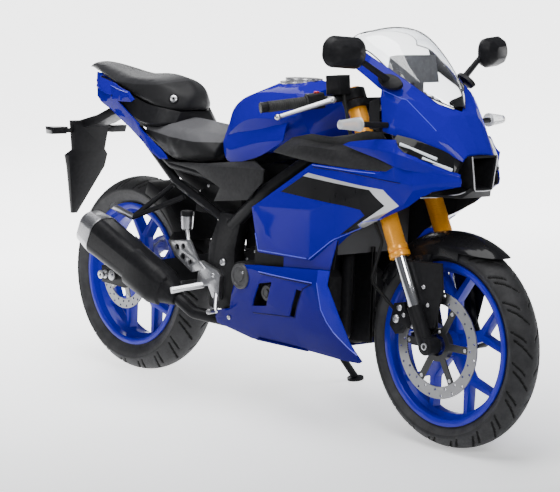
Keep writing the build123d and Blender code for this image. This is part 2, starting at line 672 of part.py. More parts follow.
# Swingarm with its pivot pin, arms either side of the wheel and a cross brace
ARM_Y = (104.0, 130.0)
PIVOT_PIN_RADIUS = 10.0
ARM = [(470, 440), (470, 366), (60, 280), (-60, 285), (-64, 338), (60, 352), (400, 428)]
with BuildPart() as swingarm:
    for low, high in both_sides(*ARM_Y):
        slab(ARM, low, high)
    slab([(470, 366), (360, 343), (360, 419), (400, 428), (470, 440)], -ARM_Y[1], ARM_Y[1])
    slab([(470, 372), (545, 380), (545, 430), (470, 436)], -PLATE_Y[0] + 2.0, PLATE_Y[0] - 2.0)
    add(chain_path.part, mode=Mode.SUBTRACT)
    pin(*PIVOT, -PLATE_Y[1], PLATE_Y[1], PIVOT_PIN_RADIUS - FIT)
    pin(REAR_AXLE.X, REAR_AXLE.Z, -FAR, FAR, REAR_AXLE_RADIUS + FIT, mode=Mode.SUBTRACT)
built["swingarm"] = swingarm


# Engine: one block for crankcase, cylinders and head, with its round side covers
CRANKCASE = [(590, 440), (590, 330), (640, 275), (900, 272), (985, 330), (985, 430), (900, 475), (640, 480)]
CYLINDERS = [(770, 450), (950, 430), (1005, 640), (960, 690), (850, 700), (800, 640)]
ENGINE_HALF = 108.0
AIRBOX = [(600, 470), (800, 470), (810, 640), (850, 700), (862, 735), (640, 735), (596, 650)]
AIRBOX_HALF = 94.0
SPROCKET_POCKET = 78.0
# columns: x, z, radius, inner y, outer y
COVERS = [
    (790.0, 362.0, 82.0, -ENGINE_HALF, -160.0),
    (683.0, 400.0, 46.0, -ENGINE_HALF, -182.0),
    (800.0, 365.0, 84.0, ENGINE_HALF, 160.0),
]
with BuildPart() as engine:
    slab(CRANKCASE, -ENGINE_HALF, ENGINE_HALF)
    slab(CYLINDERS, -ENGINE_HALF + 8.0, ENGINE_HALF - 8.0)
    slab(AIRBOX, -AIRBOX_HALF, AIRBOX_HALF)
    for x, z, radius, inner, outer in COVERS:
        pin(x, z, min(inner, outer), max(inner, outer), radius)
    chain_hull(CHAIN_PLATE + CHAIN_ROOM, SPROCKET_POCKET, FAR, mode=Mode.SUBTRACT)
    pin(*OUTPUT_SHAFT, CHAIN_Y - SPROCKET_THICK / 2, CHAIN_Y + SPROCKET_THICK / 2, front_pitch - ROLLER_DEPTH)
    pin(*OUTPUT_SHAFT, SPROCKET_POCKET, CHAIN_Y, 14.0)
    pin(600, 344, -PLATE_Y[0], PLATE_Y[0], 9.0)
    for low, high in both_sides(ENGINE_HALF - 12.0, 127.0):
        slab([(838, 655), (872, 655), (864, 735), (846, 735)], low, high)
    add(frame.part, mode=Mode.SUBTRACT)
built["engine"] = engine

# Radiator ahead of the cylinders
RADIATOR = [(1016, 512), (1046, 504), (1050, 690), (1020, 690)]
RADIATOR_TAB = [(985, 600), (1019, 600), (1019, 640), (992, 640)]
RADIATOR_HALF = 140.0
with BuildPart() as radiator:
    slab(RADIATOR, -RADIATOR_HALF, RADIATOR_HALF)
    slab(RADIATOR_TAB, -20.0, 20.0)
    add(engine.part, mode=Mode.SUBTRACT)
built["radiator"] = radiator

# Exhaust: header from the head, under the crankcase and out to the right-hand muffler
HEADER_RADIUS = 19.0
MUFFLER_FRONT = Vector(412, -198, 301)
MUFFLER_REAR = Vector(-5, -224, 477)
muffler_run = MUFFLER_REAR - MUFFLER_FRONT
MUFFLER_LENGTH = muffler_run.length
muffler_way = muffler_run.normalized()
HEADER = [
    (950, -45, 530), (994, -45, 500), (988, -45, 244), (640, -100, 244), (540, -108, 243), (460, -176, 262),
]
HEADER_LEFT = [(950, 45, 530), (994, 45, 500), (988, 45, 244), (880, -40, 244)]
with BuildPart() as header:
    add(tube([*HEADER, MUFFLER_FRONT + muffler_way * 14.0], HEADER_RADIUS, 34.0))
    add(tube(HEADER_LEFT, HEADER_RADIUS, 34.0))
    add(engine.part, mode=Mode.SUBTRACT)
built["exhaust_header"] = header


def muffler_plane(distance):
    """Section plane square to the muffler's axis, local x outwards and local y up."""
    return Plane(origin=MUFFLER_FRONT + muffler_way * distance, x_dir=(0, -1, 0), z_dir=muffler_way)


# columns: distance along the axis, width, height, corner radius
MUFFLER_BODY = [(0.0, 50.0, 50.0, 24.0), (70.0, 98.0, 106.0, 36.0), (388.0, 110.0, 122.0, 40.0)]
HEAT_SHIELD = [(46.0, 96.0, 102.0, 34.0), (84.0, 118.0, 126.0, 40.0), (196.0, 122.0, 130.0, 42.0)]
SHIELD_EDGE = 22.0
MUFFLER_TAIL = [(388.6, 112.0, 124.0, 40.0), (MUFFLER_LENGTH, 96.0, 108.0, 36.0)]
with BuildPart() as muffler:
    for distance, width, height, corner in MUFFLER_BODY:
        with BuildSketch(muffler_plane(distance)):
            RectangleRounded(width, height, corner)
    loft(ruled=True)
    for distance, width, height, corner in HEAT_SHIELD:
        with BuildSketch(muffler_plane(distance)):
            RectangleRounded(width, height, corner)
            with Locations((-width / 2 + SHIELD_EDGE, 0)):
                Rectangle(width, height, mode=Mode.SUBTRACT)
    loft(ruled=True)
    add(header.part, mode=Mode.SUBTRACT)
built["muffler"] = muffler

with BuildPart() as muffler_cap:
    for distance, width, height, corner in MUFFLER_TAIL:
        with BuildSketch(muffler_plane(distance)):
            RectangleRounded(width, height, corner)
    loft(ruled=True)
    with BuildSketch(muffler_plane(MUFFLER_LENGTH)):
        Circle(30.0)
    extrude(amount=-60.0, mode=Mode.SUBTRACT)
built["muffler_cap"] = muffler_cap

# Rear suspension strut between the swingarm's brace and the frame's cross tube
SHOCK_FOOT = (438.0, 446.0)
with BuildPart() as shock:
    add(rod((SHOCK_FOOT[0], 0, SHOCK_FOOT[1]), (SHOCK_TOP[0], 0, SHOCK_TOP[1]), 14.0))
    add(rod((456, 0, 487), (520, 0, 634), 30.0))
    pin(*SHOCK_TOP, -FAR, FAR, RAIL_RADIUS + SEAT_GAP, mode=Mode.SUBTRACT)
    add(swingarm.part, mode=Mode.SUBTRACT)
built["rear_shock"] = shock

# Rear axle with its spacers, brake caliper, hugger and the paddock-stand spools
REAR_AXLE_HALF = ARM_Y[1] + 14.0
with BuildPart() as rear_axle:
    pin(REAR_AXLE.X, REAR_AXLE.Z, -REAR_AXLE_HALF, REAR_AXLE_HALF, REAR_AXLE_RADIUS)
    for low, high in both_sides(RIMS[1][4] + SEAT_GAP, ARM_Y[0] - SEAT_GAP):
        pin(REAR_AXLE.X, REAR_AXLE.Z, low, high, 16.0)
    for low, high in both_sides(ARM_Y[1] + SEAT_GAP, ARM_Y[1] + 10.0):
        pin(REAR_AXLE.X, REAR_AXLE.Z, low, high, 17.0)
built["rear_axle"] = rear_axle

with BuildPart() as rear_caliper:
    slab([(20, 392), (110, 352), (118, 400), (40, 440)], REAR_DISC_Y - 19.6, REAR_DISC_Y + 12.0)
    slot_low, slot_high = REAR_DISC_Y - CALIPER_SLOT / 2, REAR_DISC_Y + CALIPER_SLOT / 2
    pin(REAR_AXLE.X, REAR_AXLE.Z, slot_low, slot_high, 113.0, mode=Mode.SUBTRACT)
    pin(REAR_AXLE.X, REAR_AXLE.Z, REAR_DISC_Y, FAR, 76.0, mode=Mode.SUBTRACT)
    slab([(60, 352), (118, 352), (118, 372), (60, 372)], -ARM_Y[1], REAR_DISC_Y - 19.6)
    add(swingarm.part, mode=Mode.SUBTRACT)
built["rear_caliper"] = rear_caliper

HUGGER_RADIUS = REAR_TYRE_RADIUS + 12.0
HUGGER_START_DEG = 26.0
with BuildPart() as hugger:
    with BuildSketch(spoke_plane(REAR_AXLE, HUGGER_START_DEG)):
        with Locations((0, HUGGER_RADIUS)):
            Rectangle(150.0, 3.5)
        for way in (-1, 1):
            with Locations((way * 76.75, HUGGER_RADIUS - 20.0)):
                Rectangle(3.5, 43.5)
    revolve(axis=Axis(REAR_AXLE, (0, 1, 0)), revolution_arc=-46.0)
    slab([(250, 452), (300, 390), (332, 396), (276, 482)], -ARM_Y[0] - 8.0, -75.0)
    add(swingarm.part, mode=Mode.SUBTRACT)

SPOOL_PLACE = (-40.0, 312.0)
SPOOL_THREAD_RADIUS = 4.0
with BuildPart() as spools:
    # columns: start outside the arm, end, radius
    for start, end, radius in ((0.0, 5.0, 14.0), (5.0, 17.0, 9.0), (17.0, 22.0, 14.0)):
        for low, high in both_sides(ARM_Y[1] + start, ARM_Y[1] + end):
            pin(*SPOOL_PLACE, low, high, radius)
    pin(*SPOOL_PLACE, -FAR, FAR, SPOOL_THREAD_RADIUS, mode=Mode.SUBTRACT)
built["paddock_spools"] = spools

# Fuel tank: lofted shell of lines with a flat filler seat and a neck
# columns: x, then (y, z) from bottom middle to top middle
TANK = [
    (466, [(0, 772), (60, 770), (74, 800), (52, 838), (0, 850)]),
    (540, [(0, 752), (104, 745), (126, 805), (104, 886), (0, 918)]),
    (640, [(0, 755), (128, 752), (162, 850), (132, 930), (0, 970)]),
    (760, [(0, 772), (130, 776), (180, 872), (140, 946), (0, 986)]),
    (880, [(0, 812), (98, 816), (146, 896), (104, 948), (0, 972)]),
]
FILLER = (722.0, 0.0)
FILLER_SEAT_Z = 966.0
NECK_RADIUS = 22.0
with BuildPart() as tank:
    add(solid_loft(TANK))
    for low, high in both_sides(104.0, 124.0):
        slab([(858, 752), (888, 760), (888, 835), (858, 830)], low, high)
    for low, high in both_sides(40.0, 64.0):
        slab([(524, 676), (546, 676), (546, 770), (524, 770)], low, high)
    add(frame.part, mode=Mode.SUBTRACT)
    with BuildSketch(Plane.XY.offset(FILLER_SEAT_Z)):
        with Locations(FILLER):
            Circle(68.0)
    extrude(amount=60.0, mode=Mode.SUBTRACT)
    hinge_well = [(760, FILLER_SEAT_Z), (804, FILLER_SEAT_Z), (804, 1000), (760, 1000)]
    slab(hinge_well, -24.0, 24.0, mode=Mode.SUBTRACT)
    with BuildSketch(Plane.XY.offset(FILLER_SEAT_Z)):
        with Locations(FILLER):
            Circle(NECK_RADIUS)
    extrude(amount=-90.0, mode=Mode.SUBTRACT)
built["fuel_tank"] = tank

# Filler: bolted ring with hinge lugs, and the lid that swings forward on its pin
LID_HINGE = (788.0, 981.0)
HINGE_PIN_RADIUS = 3.0
with BuildPart() as filler_ring:
    with BuildSketch(Plane.XY.offset(FILLER_SEAT_Z)):
        with Locations(FILLER):
            Circle(66.0)
            Circle(NECK_RADIUS, mode=Mode.SUBTRACT)
    extrude(amount=7.0)
    hinge_lug = [(776, FILLER_SEAT_Z + 2), (787, FILLER_SEAT_Z + 2), (794, 978), (794, 986), (782, 986)]
    for low, high in both_sides(10.0, 16.0):
        slab(hinge_lug, low, high)
    pin(*LID_HINGE, -14.0, 14.0, HINGE_PIN_RADIUS)
built["filler_ring"] = filler_ring

with BuildPart() as fuel_cap:
    with BuildSketch(Plane.XY.offset(FILLER_SEAT_Z + 7.0 + SEAT_GAP)):
        with Locations(FILLER):
            Circle(50.0)
    extrude(amount=11.0)
    slab([(760, 978), (788, 977), (788, 984.3), (760, 984.3)], -8.0, 8.0)
    pin(*LID_HINGE, -8.0, 8.0, 6.0)
    pin(*LID_HINGE, -FAR, FAR, HINGE_PIN_RADIUS + FIT, mode=Mode.SUBTRACT)
built["fuel_cap"] = fuel_cap

# Seats
# columns: x, then (y, z) from bottom middle to top middle
RIDER_SEAT = [
    (124, [(0, 772), (108, 772), (124, 786), (122, 806), (0, 812)]),
    (250, [(0, 726), (122, 716), (136, 742), (128, 800), (0, 826)]),
    (400, [(0, 722), (118, 716), (130, 738), (108, 790), (0, 804)]),
    (462, [(0, 728), (104, 724), (112, 742), (72, 780), (0, 790)]),
]
with BuildPart() as rider_seat:
    add(solid_loft(RIDER_SEAT))
    add(tank.part, mode=Mode.SUBTRACT)
    add(frame.part, mode=Mode.SUBTRACT)
built["rider_seat"] = rider_seat

PILLION_SEAT = [
    (-318, [(0, 950), (6, 950), (8, 952), (6, 954), (0, 955)]),
    (-285, [(0, 956), (22, 956), (26, 960), (20, 966), (0, 968)]),
    (-150, [(0, 938), (62, 936), (74, 945), (58, 962), (0, 970)]),
    (30, [(0, 892), (94, 888), (106, 900), (84, 940), (0, 953)]),
    (150, [(0, 862), (98, 858), (110, 872), (84, 930), (0, 954)]),
    (215, [(0, 852), (70, 850), (82, 864), (60, 908), (0, 930)]),
    (240, [(0, 856), (34, 856), (42, 866), (30, 888), (0, 896)]),
]
with BuildPart() as pillion_seat:
    add(solid_loft(PILLION_SEAT))
built["pillion_seat"] = pillion_seat

# Tail: painted side panels, dark centre cover, lamp, fender with plate bracket and signals
TAIL_SKIN = [
    (-225, [(38, 964), (50, 946), (60, 900), (48, 850)]),
    (-60, [(82, 938), (98, 915), (104, 868), (88, 812)]),
    (60, [(114, 915), (130, 888), (130, 845), (112, 770)]),
    (130, [(124, 850), (135, 800), (132, 770), (118, 735)]),
    (280, [(132, 760), (141, 722), (139, 706), (126, 685)]),
]
TAIL_OUTLINE = [
    (-222, 949), (47, 903), (82, 880), (76, 872), (-18, 868), (4, 858), (122, 806), (121, 796),
    (181, 758), (262, 716), (268, 709), (223, 706), (175, 727), (51, 786), (-87, 836), (-143, 851),
    (-192, 873), (-206, 905),
]
tail_skin = skin(TAIL_SKIN, PANEL_WALL)
with BuildPart() as tail_cowl:
    add(cut_from(tail_skin, TAIL_OUTLINE))
    mirror(about=Plane.XZ)
    add(pillion_seat.part, mode=Mode.SUBTRACT)
    add(rider_seat.part, mode=Mode.SUBTRACT)
built["tail_cowl"] = tail_cowl

TAIL_COVER = [
    (-200, [(0, 872), (44, 878), (64, 905), (42, 955), (0, 960)]),
    (-60, [(0, 836), (66, 838), (102, 880), (74, 930), (0, 932)]),
    (100, [(0, 790), (88, 792), (131, 822), (96, 890), (0, 892)]),
    (180, [(0, 790), (94, 792), (128, 812), (96, 862), (0, 866)]),
    (232, [(0, 806), (62, 806), (78, 818), (58, 850), (0, 852)]),
]
with BuildPart() as tail_cover:
    add(solid_loft(TAIL_COVER))
    add(pillion_seat.part, mode=Mode.SUBTRACT)
    add(rider_seat.part, mode=Mode.SUBTRACT)
    add(tail_cowl.part, mode=Mode.SUBTRACT)
    add(frame.part, mode=Mode.SUBTRACT)
built["tail_cover"] = tail_cover

with BuildPart() as tail_lamp:
    slab([(-200.3, 880), (-200.3, 930), (-236, 925), (-226, 890)], -38.0, 38.0)
built["tail_lamp"] = tail_lamp

PLATE_ARM = [
    (-60, 840), (-150, 812), (-229, 778), (-300, 762), (-326, 783), (-229, 808), (-150, 840), (-60, 868),
]
PLATE_ARM_HALF = 36.0
BATTERY_BOX = [(120, 750), (250, 708), (430, 710), (430, 640), (380, 612), (250, 652), (108, 732)]
BATTERY_BOX_HALF = 80.0
with BuildPart() as battery_box:
    slab(BATTERY_BOX, -BATTERY_BOX_HALF, BATTERY_BOX_HALF)
    add(frame.part, mode=Mode.SUBTRACT)
# columns: z, rear x, front x, half width
PLATE_HANGER = [
    (783, -332, -300, 72),
    (686, -332, -312, 62),
    (668, -346, -320, 80),
    (627, -344, -324, 72),
    (465, -400, -390, 10),
]
with BuildPart() as rear_fender:
    for z, rear, front, half in PLATE_HANGER:
        with BuildSketch(Plane.XY.offset(z)):
            with Locations(((rear + front) / 2, 0)):
                Rectangle(front - rear, half * 2)
    loft(ruled=True)
    slab(PLATE_ARM, -PLATE_ARM_HALF, PLATE_ARM_HALF)
    add(tail_cover.part, mode=Mode.SUBTRACT)
    add(hugger.part)
    add(battery_box.part)
built["rear_fender"] = rear_fender

# Side covers below the tank
SIDE_COVER_SKIN = [
    (240, [(120, 740), (134, 715), (130, 690), (120, 650)]),
    (420, [(128, 740), (150, 705), (152, 650), (146, 600)]),
    (600, [(128, 752), (170, 715), (174, 650), (168, 590)]),
    (775, [(150, 760), (178, 720), (178, 660), (172, 600)]),
]
SIDE_COVER_OUTLINE = [
    (262, 700), (470, 714), (690, 742), (762, 722), (760, 686), (692, 627), (524, 606), (560, 650), (420, 690),
]
with BuildPart() as side_covers:
    add(cut_from(skin(SIDE_COVER_SKIN, PANEL_WALL), SIDE_COVER_OUTLINE))
    add(rod((700, -148, 655), (700, -175, 658), 6.0))
    add(rod((590, -132, 662), (590, -169, 672), 6.0))
    add(rider_seat.part, mode=Mode.SUBTRACT)
    add(tank.part, mode=Mode.SUBTRACT)
    mirror(about=Plane.XZ)
    add(frame.part, mode=Mode.SUBTRACT)

# Side cowls, lower cowl, wing panels and dark duct panels
SIDE_SKIN = [
    (735, [(194, 790), (197, 735), (200, 620), (204, 486), (160, 474)]),
    (1000, [(203, 790), (210, 755), (213, 630), (208, 490), (165, 478)]),
    (1100, [(204, 790), (211, 754), (210, 665), (202, 562), (152, 566)]),
    (1190, [(204, 790), (209, 750), (202, 690), (186, 618), (142, 613)]),
    (1260, [(203, 785), (203, 746), (186, 702), (160, 652), (140, 645)]),
    (1310, [(198, 790), (187, 738), (172, 712), (150, 676), (134, 668)]),
    (1357, [(160, 776), (169, 735), (168, 727), (165, 718), (128, 702)]),
    (1392, [(130, 768), (128, 741), (127, 736), (124, 730), (100, 714)]),
    (1452, [(76, 758), (78, 751), (77, 747), (76, 738), (56, 722)]),
]
SIDE_OUTLINE = [
    (742, 612), (1003, 763), (1153, 762), (1261, 764), (1291, 772), (1310, 786), (1345, 779), (1392, 769),
    (1450, 756), (1451, 745), (1447, 735), (1380, 716), (1310, 664), (1194, 608), (1104, 560), (1044, 498),
    (998, 476), (784, 474),
]
side_skin = skin(SIDE_SKIN, PANEL_WALL, ruled=True)
with BuildPart() as side_cowls:
    add(cut_from(side_skin, SIDE_OUTLINE))
    add(rod((1035, -RADIATOR_HALF, 670), (1035, -209, 670), 7.0))
    add(rod((940, -ENGINE_HALF + 8.0, 600), (940, -207, 600), 7.0))
    mirror(about=Plane.XZ)

LOWER_SKIN = [
    (500, [(168, 490), (172, 430), (166, 300), (158, 262), (136, 205)]),
    (695, [(196, 490), (202, 432), (196, 345), (178, 270), (144, 205)]),
    (850, [(206, 490), (216, 432), (208, 345), (192, 280), (150, 205)]),
    (1034, [(208, 490), (218, 432), (210, 350), (200, 285), (164, 205)]),
    (1120, [(205, 490), (210, 432), (204, 350), (196, 285), (178, 205)]),
    (1206, [(192, 490), (195, 432), (188, 340), (181, 280), (168, 205)]),
]
LOWER_OUTLINE = [
    (540, 240), (556, 282), (590, 290), (630, 298), (693, 438), (779, 448), (1088, 470), (1084, 430),
    (1120, 356), (1159, 274), (1196, 226), (1186, 220), (961, 220), (798, 216), (700, 216), (604, 230),
]
LOWER_WINDOW = [(791, 396), (852, 408), (823, 334), (753, 324)]
LOWER_SLOT = [(960, 402), (982, 400), (946, 316), (924, 320)]
lower_skin = skin(LOWER_SKIN, PANEL_WALL)
with BuildPart() as lower_cowl:
    add(cut_from(lower_skin, LOWER_OUTLINE, [LOWER_WINDOW, LOWER_SLOT]))
    add(rod((880, -ENGINE_HALF, 300), (880, -194, 300), 7.0))
    mirror(about=Plane.XZ)
    slab([(480, 190), (722, 190), (700, 330), (480, 330)], 0.0, FAR, mode=Mode.SUBTRACT)
    slab([(740, 218), (960, 218), (960, 223), (740, 223)], -166.0, 166.0)
built["lower_cowl"] = lower_cowl

WING_SKIN = [
    (1118, [(203, 832), (205, 826), (200, 815)]),
    (1240, [(196, 850), (206, 823), (196, 795)]),
    (1312, [(188, 854), (201, 820), (199, 782)]),
    (1345, [(170, 820), (191, 812), (176, 772)]),
    (1392, [(122, 796), (134, 785), (127, 764)]),
    (1450, [(72, 770), (78, 759), (76, 752)]),
]
WING_OUTLINE = [
    (1121, 826), (1143, 836), (1263, 856), (1306, 854), (1318, 834), (1332, 822), (1392, 796), (1446, 767),
    (1449, 752), (1392, 765), (1340, 774), (1312, 783), (1250, 798), (1180, 812),
]
with BuildPart() as wing_panels:
    add(cut_from(skin(WING_SKIN, PANEL_WALL, ruled=True), WING_OUTLINE))
    mirror(about=Plane.XZ)
with BuildPart() as side_fairing:
    add(side_cowls.part)
    add(wing_panels.part)
built["side_cowls"] = side_fairing

# columns: x, then (y, z) of the rail's top and middle, the recess, and the bulge below it
DUCT_SKIN = [
    (815, [(150, 826), (157, 818), (158, 806), (184, 794), (194, 782), (194, 768)]),
    (945, [(163, 843), (169, 836), (166, 822), (194, 808), (204, 790), (203, 764)]),
    (1035, [(169, 842), (175, 835), (171, 820), (198, 808), (208, 788), (206, 756)]),
    (1123, [(177, 856), (183, 848), (176, 830), (198, 802), (208, 782), (207, 754)]),
    (1190, [(181, 876), (187, 868), (178, 842), (198, 796), (206, 778), (206, 754)]),
    (1316, [(170, 880), (176, 872), (168, 846), (182, 798), (196, 782), (196, 768)]),
]
DUCT_OUTLINE = [
    (820, 780), (862, 824), (945, 841), (1035, 840), (1123, 854), (1190, 869), (1248, 869), (1252, 860),
    (1312, 781), (1286, 766), (1213, 764), (1115, 764), (1003, 766), (946, 770),
]
with BuildPart() as duct_panels:
    add(cut_from(skin(DUCT_SKIN, PANEL_WALL), DUCT_OUTLINE))
    add(wing_panels.part, mode=Mode.SUBTRACT)
    add(side_cowls.part, mode=Mode.SUBTRACT)
    mirror(about=Plane.XZ)
with BuildPart() as dark_panels:
    add(side_covers.part)
    add(duct_panels.part)
built["side_panels"] = dark_panels

# Nose: painted upper cowl, windscreen, lamps, intake duct and dark inner cowl
NOSE_SKIN = [
    (1100, [(138, 1092), (152, 1050), (166, 990), (182, 900), (190, 840)]),
    (1200, [(122, 1042), (146, 1012), (168, 970), (184, 900), (194, 840)]),
    (1280, [(102, 998), (132, 975), (156, 945), (176, 890), (184, 830)]),
    (1330, [(52, 950), (98, 942), (126, 910), (148, 870), (156, 820)]),
    (1372, [(0, 930), (60, 915), (98, 880), (116, 850), (122, 805)]),
    (1442, [(0, 822), (40, 820), (58, 812), (64, 802), (66, 780)]),
]
NOSE_OUTLINE = [
    (1104, 1094), (1104, 1036), (1214, 982), (1252, 872), (1338, 852), (1400, 826), (1443, 800), (1445, 840),
    (1372, 960), (1200, 1060),
]
with BuildPart() as upper_cowl:
    add(cut_from(skin(NOSE_SKIN, PANEL_WALL, ruled=True), NOSE_OUTLINE))
    mirror(about=Plane.XZ)
built["upper_cowl"] = upper_cowl

SCREEN_SKIN = [
    (1060, [(0, 1140), (50, 1136), (100, 1118), (132, 1098)]),
    (1130, [(0, 1148), (48, 1140), (94, 1110), (126, 1082)]),
    (1220, [(0, 1090), (44, 1080), (84, 1050), (112, 1024)]),
    (1300, [(0, 1015), (36, 1006), (62, 990), (78, 976)]),
    (1362, [(0, 944), (8, 943), (14, 942), (20, 940)]),
]
with BuildPart() as windscreen:
    add(skin(SCREEN_SKIN, 3.0, ruled=True))
    mirror(about=Plane.XZ)
    add(upper_cowl.part, mode=Mode.SUBTRACT)
built["windscreen"] = windscreen

LAMP_SKIN = [
    (1296, [(172, 866), (196, 838)]),
    (1340, [(146, 856), (180, 815)]),
    (1400, [(98, 830), (124, 793)]),
    (1436, [(64, 806), (88, 773)]),
]
LAMP_DEPTH = 12.0
LAMP_BAR_RADIUS = 4.0
# columns: rear end and front end of each light bar
LAMP_BARS = [((1312, -181, 844), (1400, -116, 805)), ((1366, -148, 809), (1432, -88, 777))]
with BuildPart() as headlamps:
    add(skin(LAMP_SKIN, LAMP_DEPTH, ruled=True))
    for start, end in LAMP_BARS:
        add(rod(start, end, LAMP_BAR_RADIUS))
    mirror(about=Plane.XZ)
    add(upper_cowl.part, mode=Mode.SUBTRACT)
    add(wing_panels.part, mode=Mode.SUBTRACT)
built["headlamps"] = headlamps

CHIN_SIDE = [(1262, 708), (1430, 708), (1452, 730), (1459, 724), (1436, 701), (1262, 701)]
# columns: x, half width
CHIN_PLAN = [(1262, 126), (1310, 126), (1357, 120), (1392, 94), (1440, 54), (1460, 34)]
with BuildPart() as chin:
    slab(CHIN_SIDE, -FAR, FAR)
    with BuildSketch() as plan:
        with BuildLine():
            right_edge = [(x, -half) for x, half in CHIN_PLAN]
            Polyline(*right_edge, *[(x, half) for x, half in reversed(CHIN_PLAN)], close=True)
        make_face()
    extrude(plan.sketch, amount=2 * FAR, mode=Mode.INTERSECT)
with BuildPart() as intake_duct:
    for x, top_half, low_half, top, low in ((1330, 44, 30, 800, 735), (1462, 50, 34, 818, 722)):
        with BuildSketch(across(x)):
            with BuildLine():
                Polyline((-top_half, top), (top_half, top), (low_half, low), (-low_half, low), close=True)
            make_face()
    loft()
    for x, top_half, low_half, top, low in ((1345, 38, 24, 794, 741), (1463, 44, 28, 812, 728)):
        with BuildSketch(across(x)):
            with BuildLine():
                Polyline((-top_half, top), (top_half, top), (low_half, low), (-low_half, low), close=True)
            make_face()
    loft(mode=Mode.SUBTRACT)
    add(chin.part)
    add(upper_cowl.part, mode=Mode.SUBTRACT)
    add(headlamps.part, mode=Mode.SUBTRACT)
    add(side_fairing.part, mode=Mode.SUBTRACT)
built["intake_duct"] = intake_duct

with BuildPart() as instrument:
    slab([(1148, 1010), (1210, 1000), (1190, 1075), (1158, 1070)], -75.0, 75.0)
    slab([(1190, 872), (1208, 862), (1204, 1015), (1184, 1015)], -20.0, 20.0)
    add(frame.part, mode=Mode.SUBTRACT)
built["instrument"] = instrument

# Mirrors and front signals on the nose
MIRROR_CENTRE = (1204, -292, 1084)
MIRROR_YAW = radians(15)
MIRROR_OUTWARD = Vector(-sin(MIRROR_YAW), -cos(MIRROR_YAW), 0.06)
MIRROR_AHEAD = Vector(cos(MIRROR_YAW), -sin(MIRROR_YAW), 0)
# columns: distance ahead of the glass, width, height, corner radius
MIRROR_SHELL = [(-14, 120, 76, 30), (0, 132, 86, 34), (20, 112, 66, 28), (34, 64, 34, 15)]
MIRROR_FOOT = Plane(origin=(1238, -144, 1002), x_dir=(0.96, 0.16, -0.22), z_dir=(0.27, -0.78, 0.57))
with BuildPart() as mirrors:
    add(rod((1232, -140, 1004), (1206, -240, 1066), 10.0, 8.0))
    with BuildSketch(MIRROR_FOOT):
        Ellipse(40.0, 20.0)
    extrude(amount=12.0)
    for ahead, width, height, corner in MIRROR_SHELL:
        with BuildSketch(Plane(MIRROR_CENTRE + MIRROR_AHEAD * ahead, MIRROR_OUTWARD, MIRROR_AHEAD)):
            RectangleRounded(width, height, corner)
    loft(ruled=True)
    add(upper_cowl.part, mode=Mode.SUBTRACT)
    mirror(about=Plane.XZ)
built["mirrors"] = mirrors

with BuildPart() as front_signal:
    add(rod((1264, -177, 890), (1236, -262, 892), 8.0))
    add(rod((1235, -255, 892), (1228, -322, 892), 20.0, 12.0))
    add(upper_cowl.part, mode=Mode.SUBTRACT)
with BuildPart() as signals:
    add(biggest(front_signal.part))
    slab([(-330, 758), (-326, 744), (-314, 744), (-310, 758)], -105.0, -60.0)
    slab([(-356, 764), (-350, 740), (-318, 740), (-310, 764)], -152.0, -92.0)
    add(rear_fender.part, mode=Mode.SUBTRACT)
    mirror(about=Plane.XZ)
built["turn_signals"] = signals

# Foot controls: brackets, heel plates, pegs and pedals
HEEL_PLATE = [(332, 467), (428, 478), (470, 420), (500, 400), (441, 382), (358, 424)]
# columns: x, z, radius
HEEL_HOLES = [(368, 450, 10.0), (398, 456, 9.0), (396, 424, 11.0), (432, 412, 9.0)]
with BuildPart() as foot_controls:
    slab([(470, 420), (548, 400), (566, 384), (562, 312), (534, 316), (512, 350), (460, 338), (462, 362)], -166.0, -150.3)
    slab(HEEL_PLATE, -172.0, -164.0)
    for x, z, radius in HEEL_HOLES:
        pin(x, z, -172.0, -164.0, radius, mode=Mode.SUBTRACT)
    add(rod((482, -160, 348), (452, -258, 334), 10.0))
    add(rod((545, -160, 330), (585, -195, 282), 7.0))
    add(rod((575, -190, 284), (592, -228, 286), 8.0))
    mirror(about=Plane.XZ)

with BuildPart() as pillion_pegs:
    add(rod((275, -118, 628), (165, -186, 520), 8.0))
    add(rod((350, -134, 600), (165, -186, 520), 8.0))
    add(rod((162, -186, 522), (158, -262, 560), 10.0))
    add(frame.part, mode=Mode.SUBTRACT)
    mirror(about=Plane.XZ)
with BuildPart() as rear_reservoir:
    add(rod((416, -166, 470), (390, -152, 512), 5.0))
    add(rod((388, -150, 506), (388, -150, 560), 14.0))
with BuildPart() as footrests:
    add(foot_controls.part)
    add(rear_reservoir.part)
    add(pillion_pegs.part)
built["footrests"] = footrests

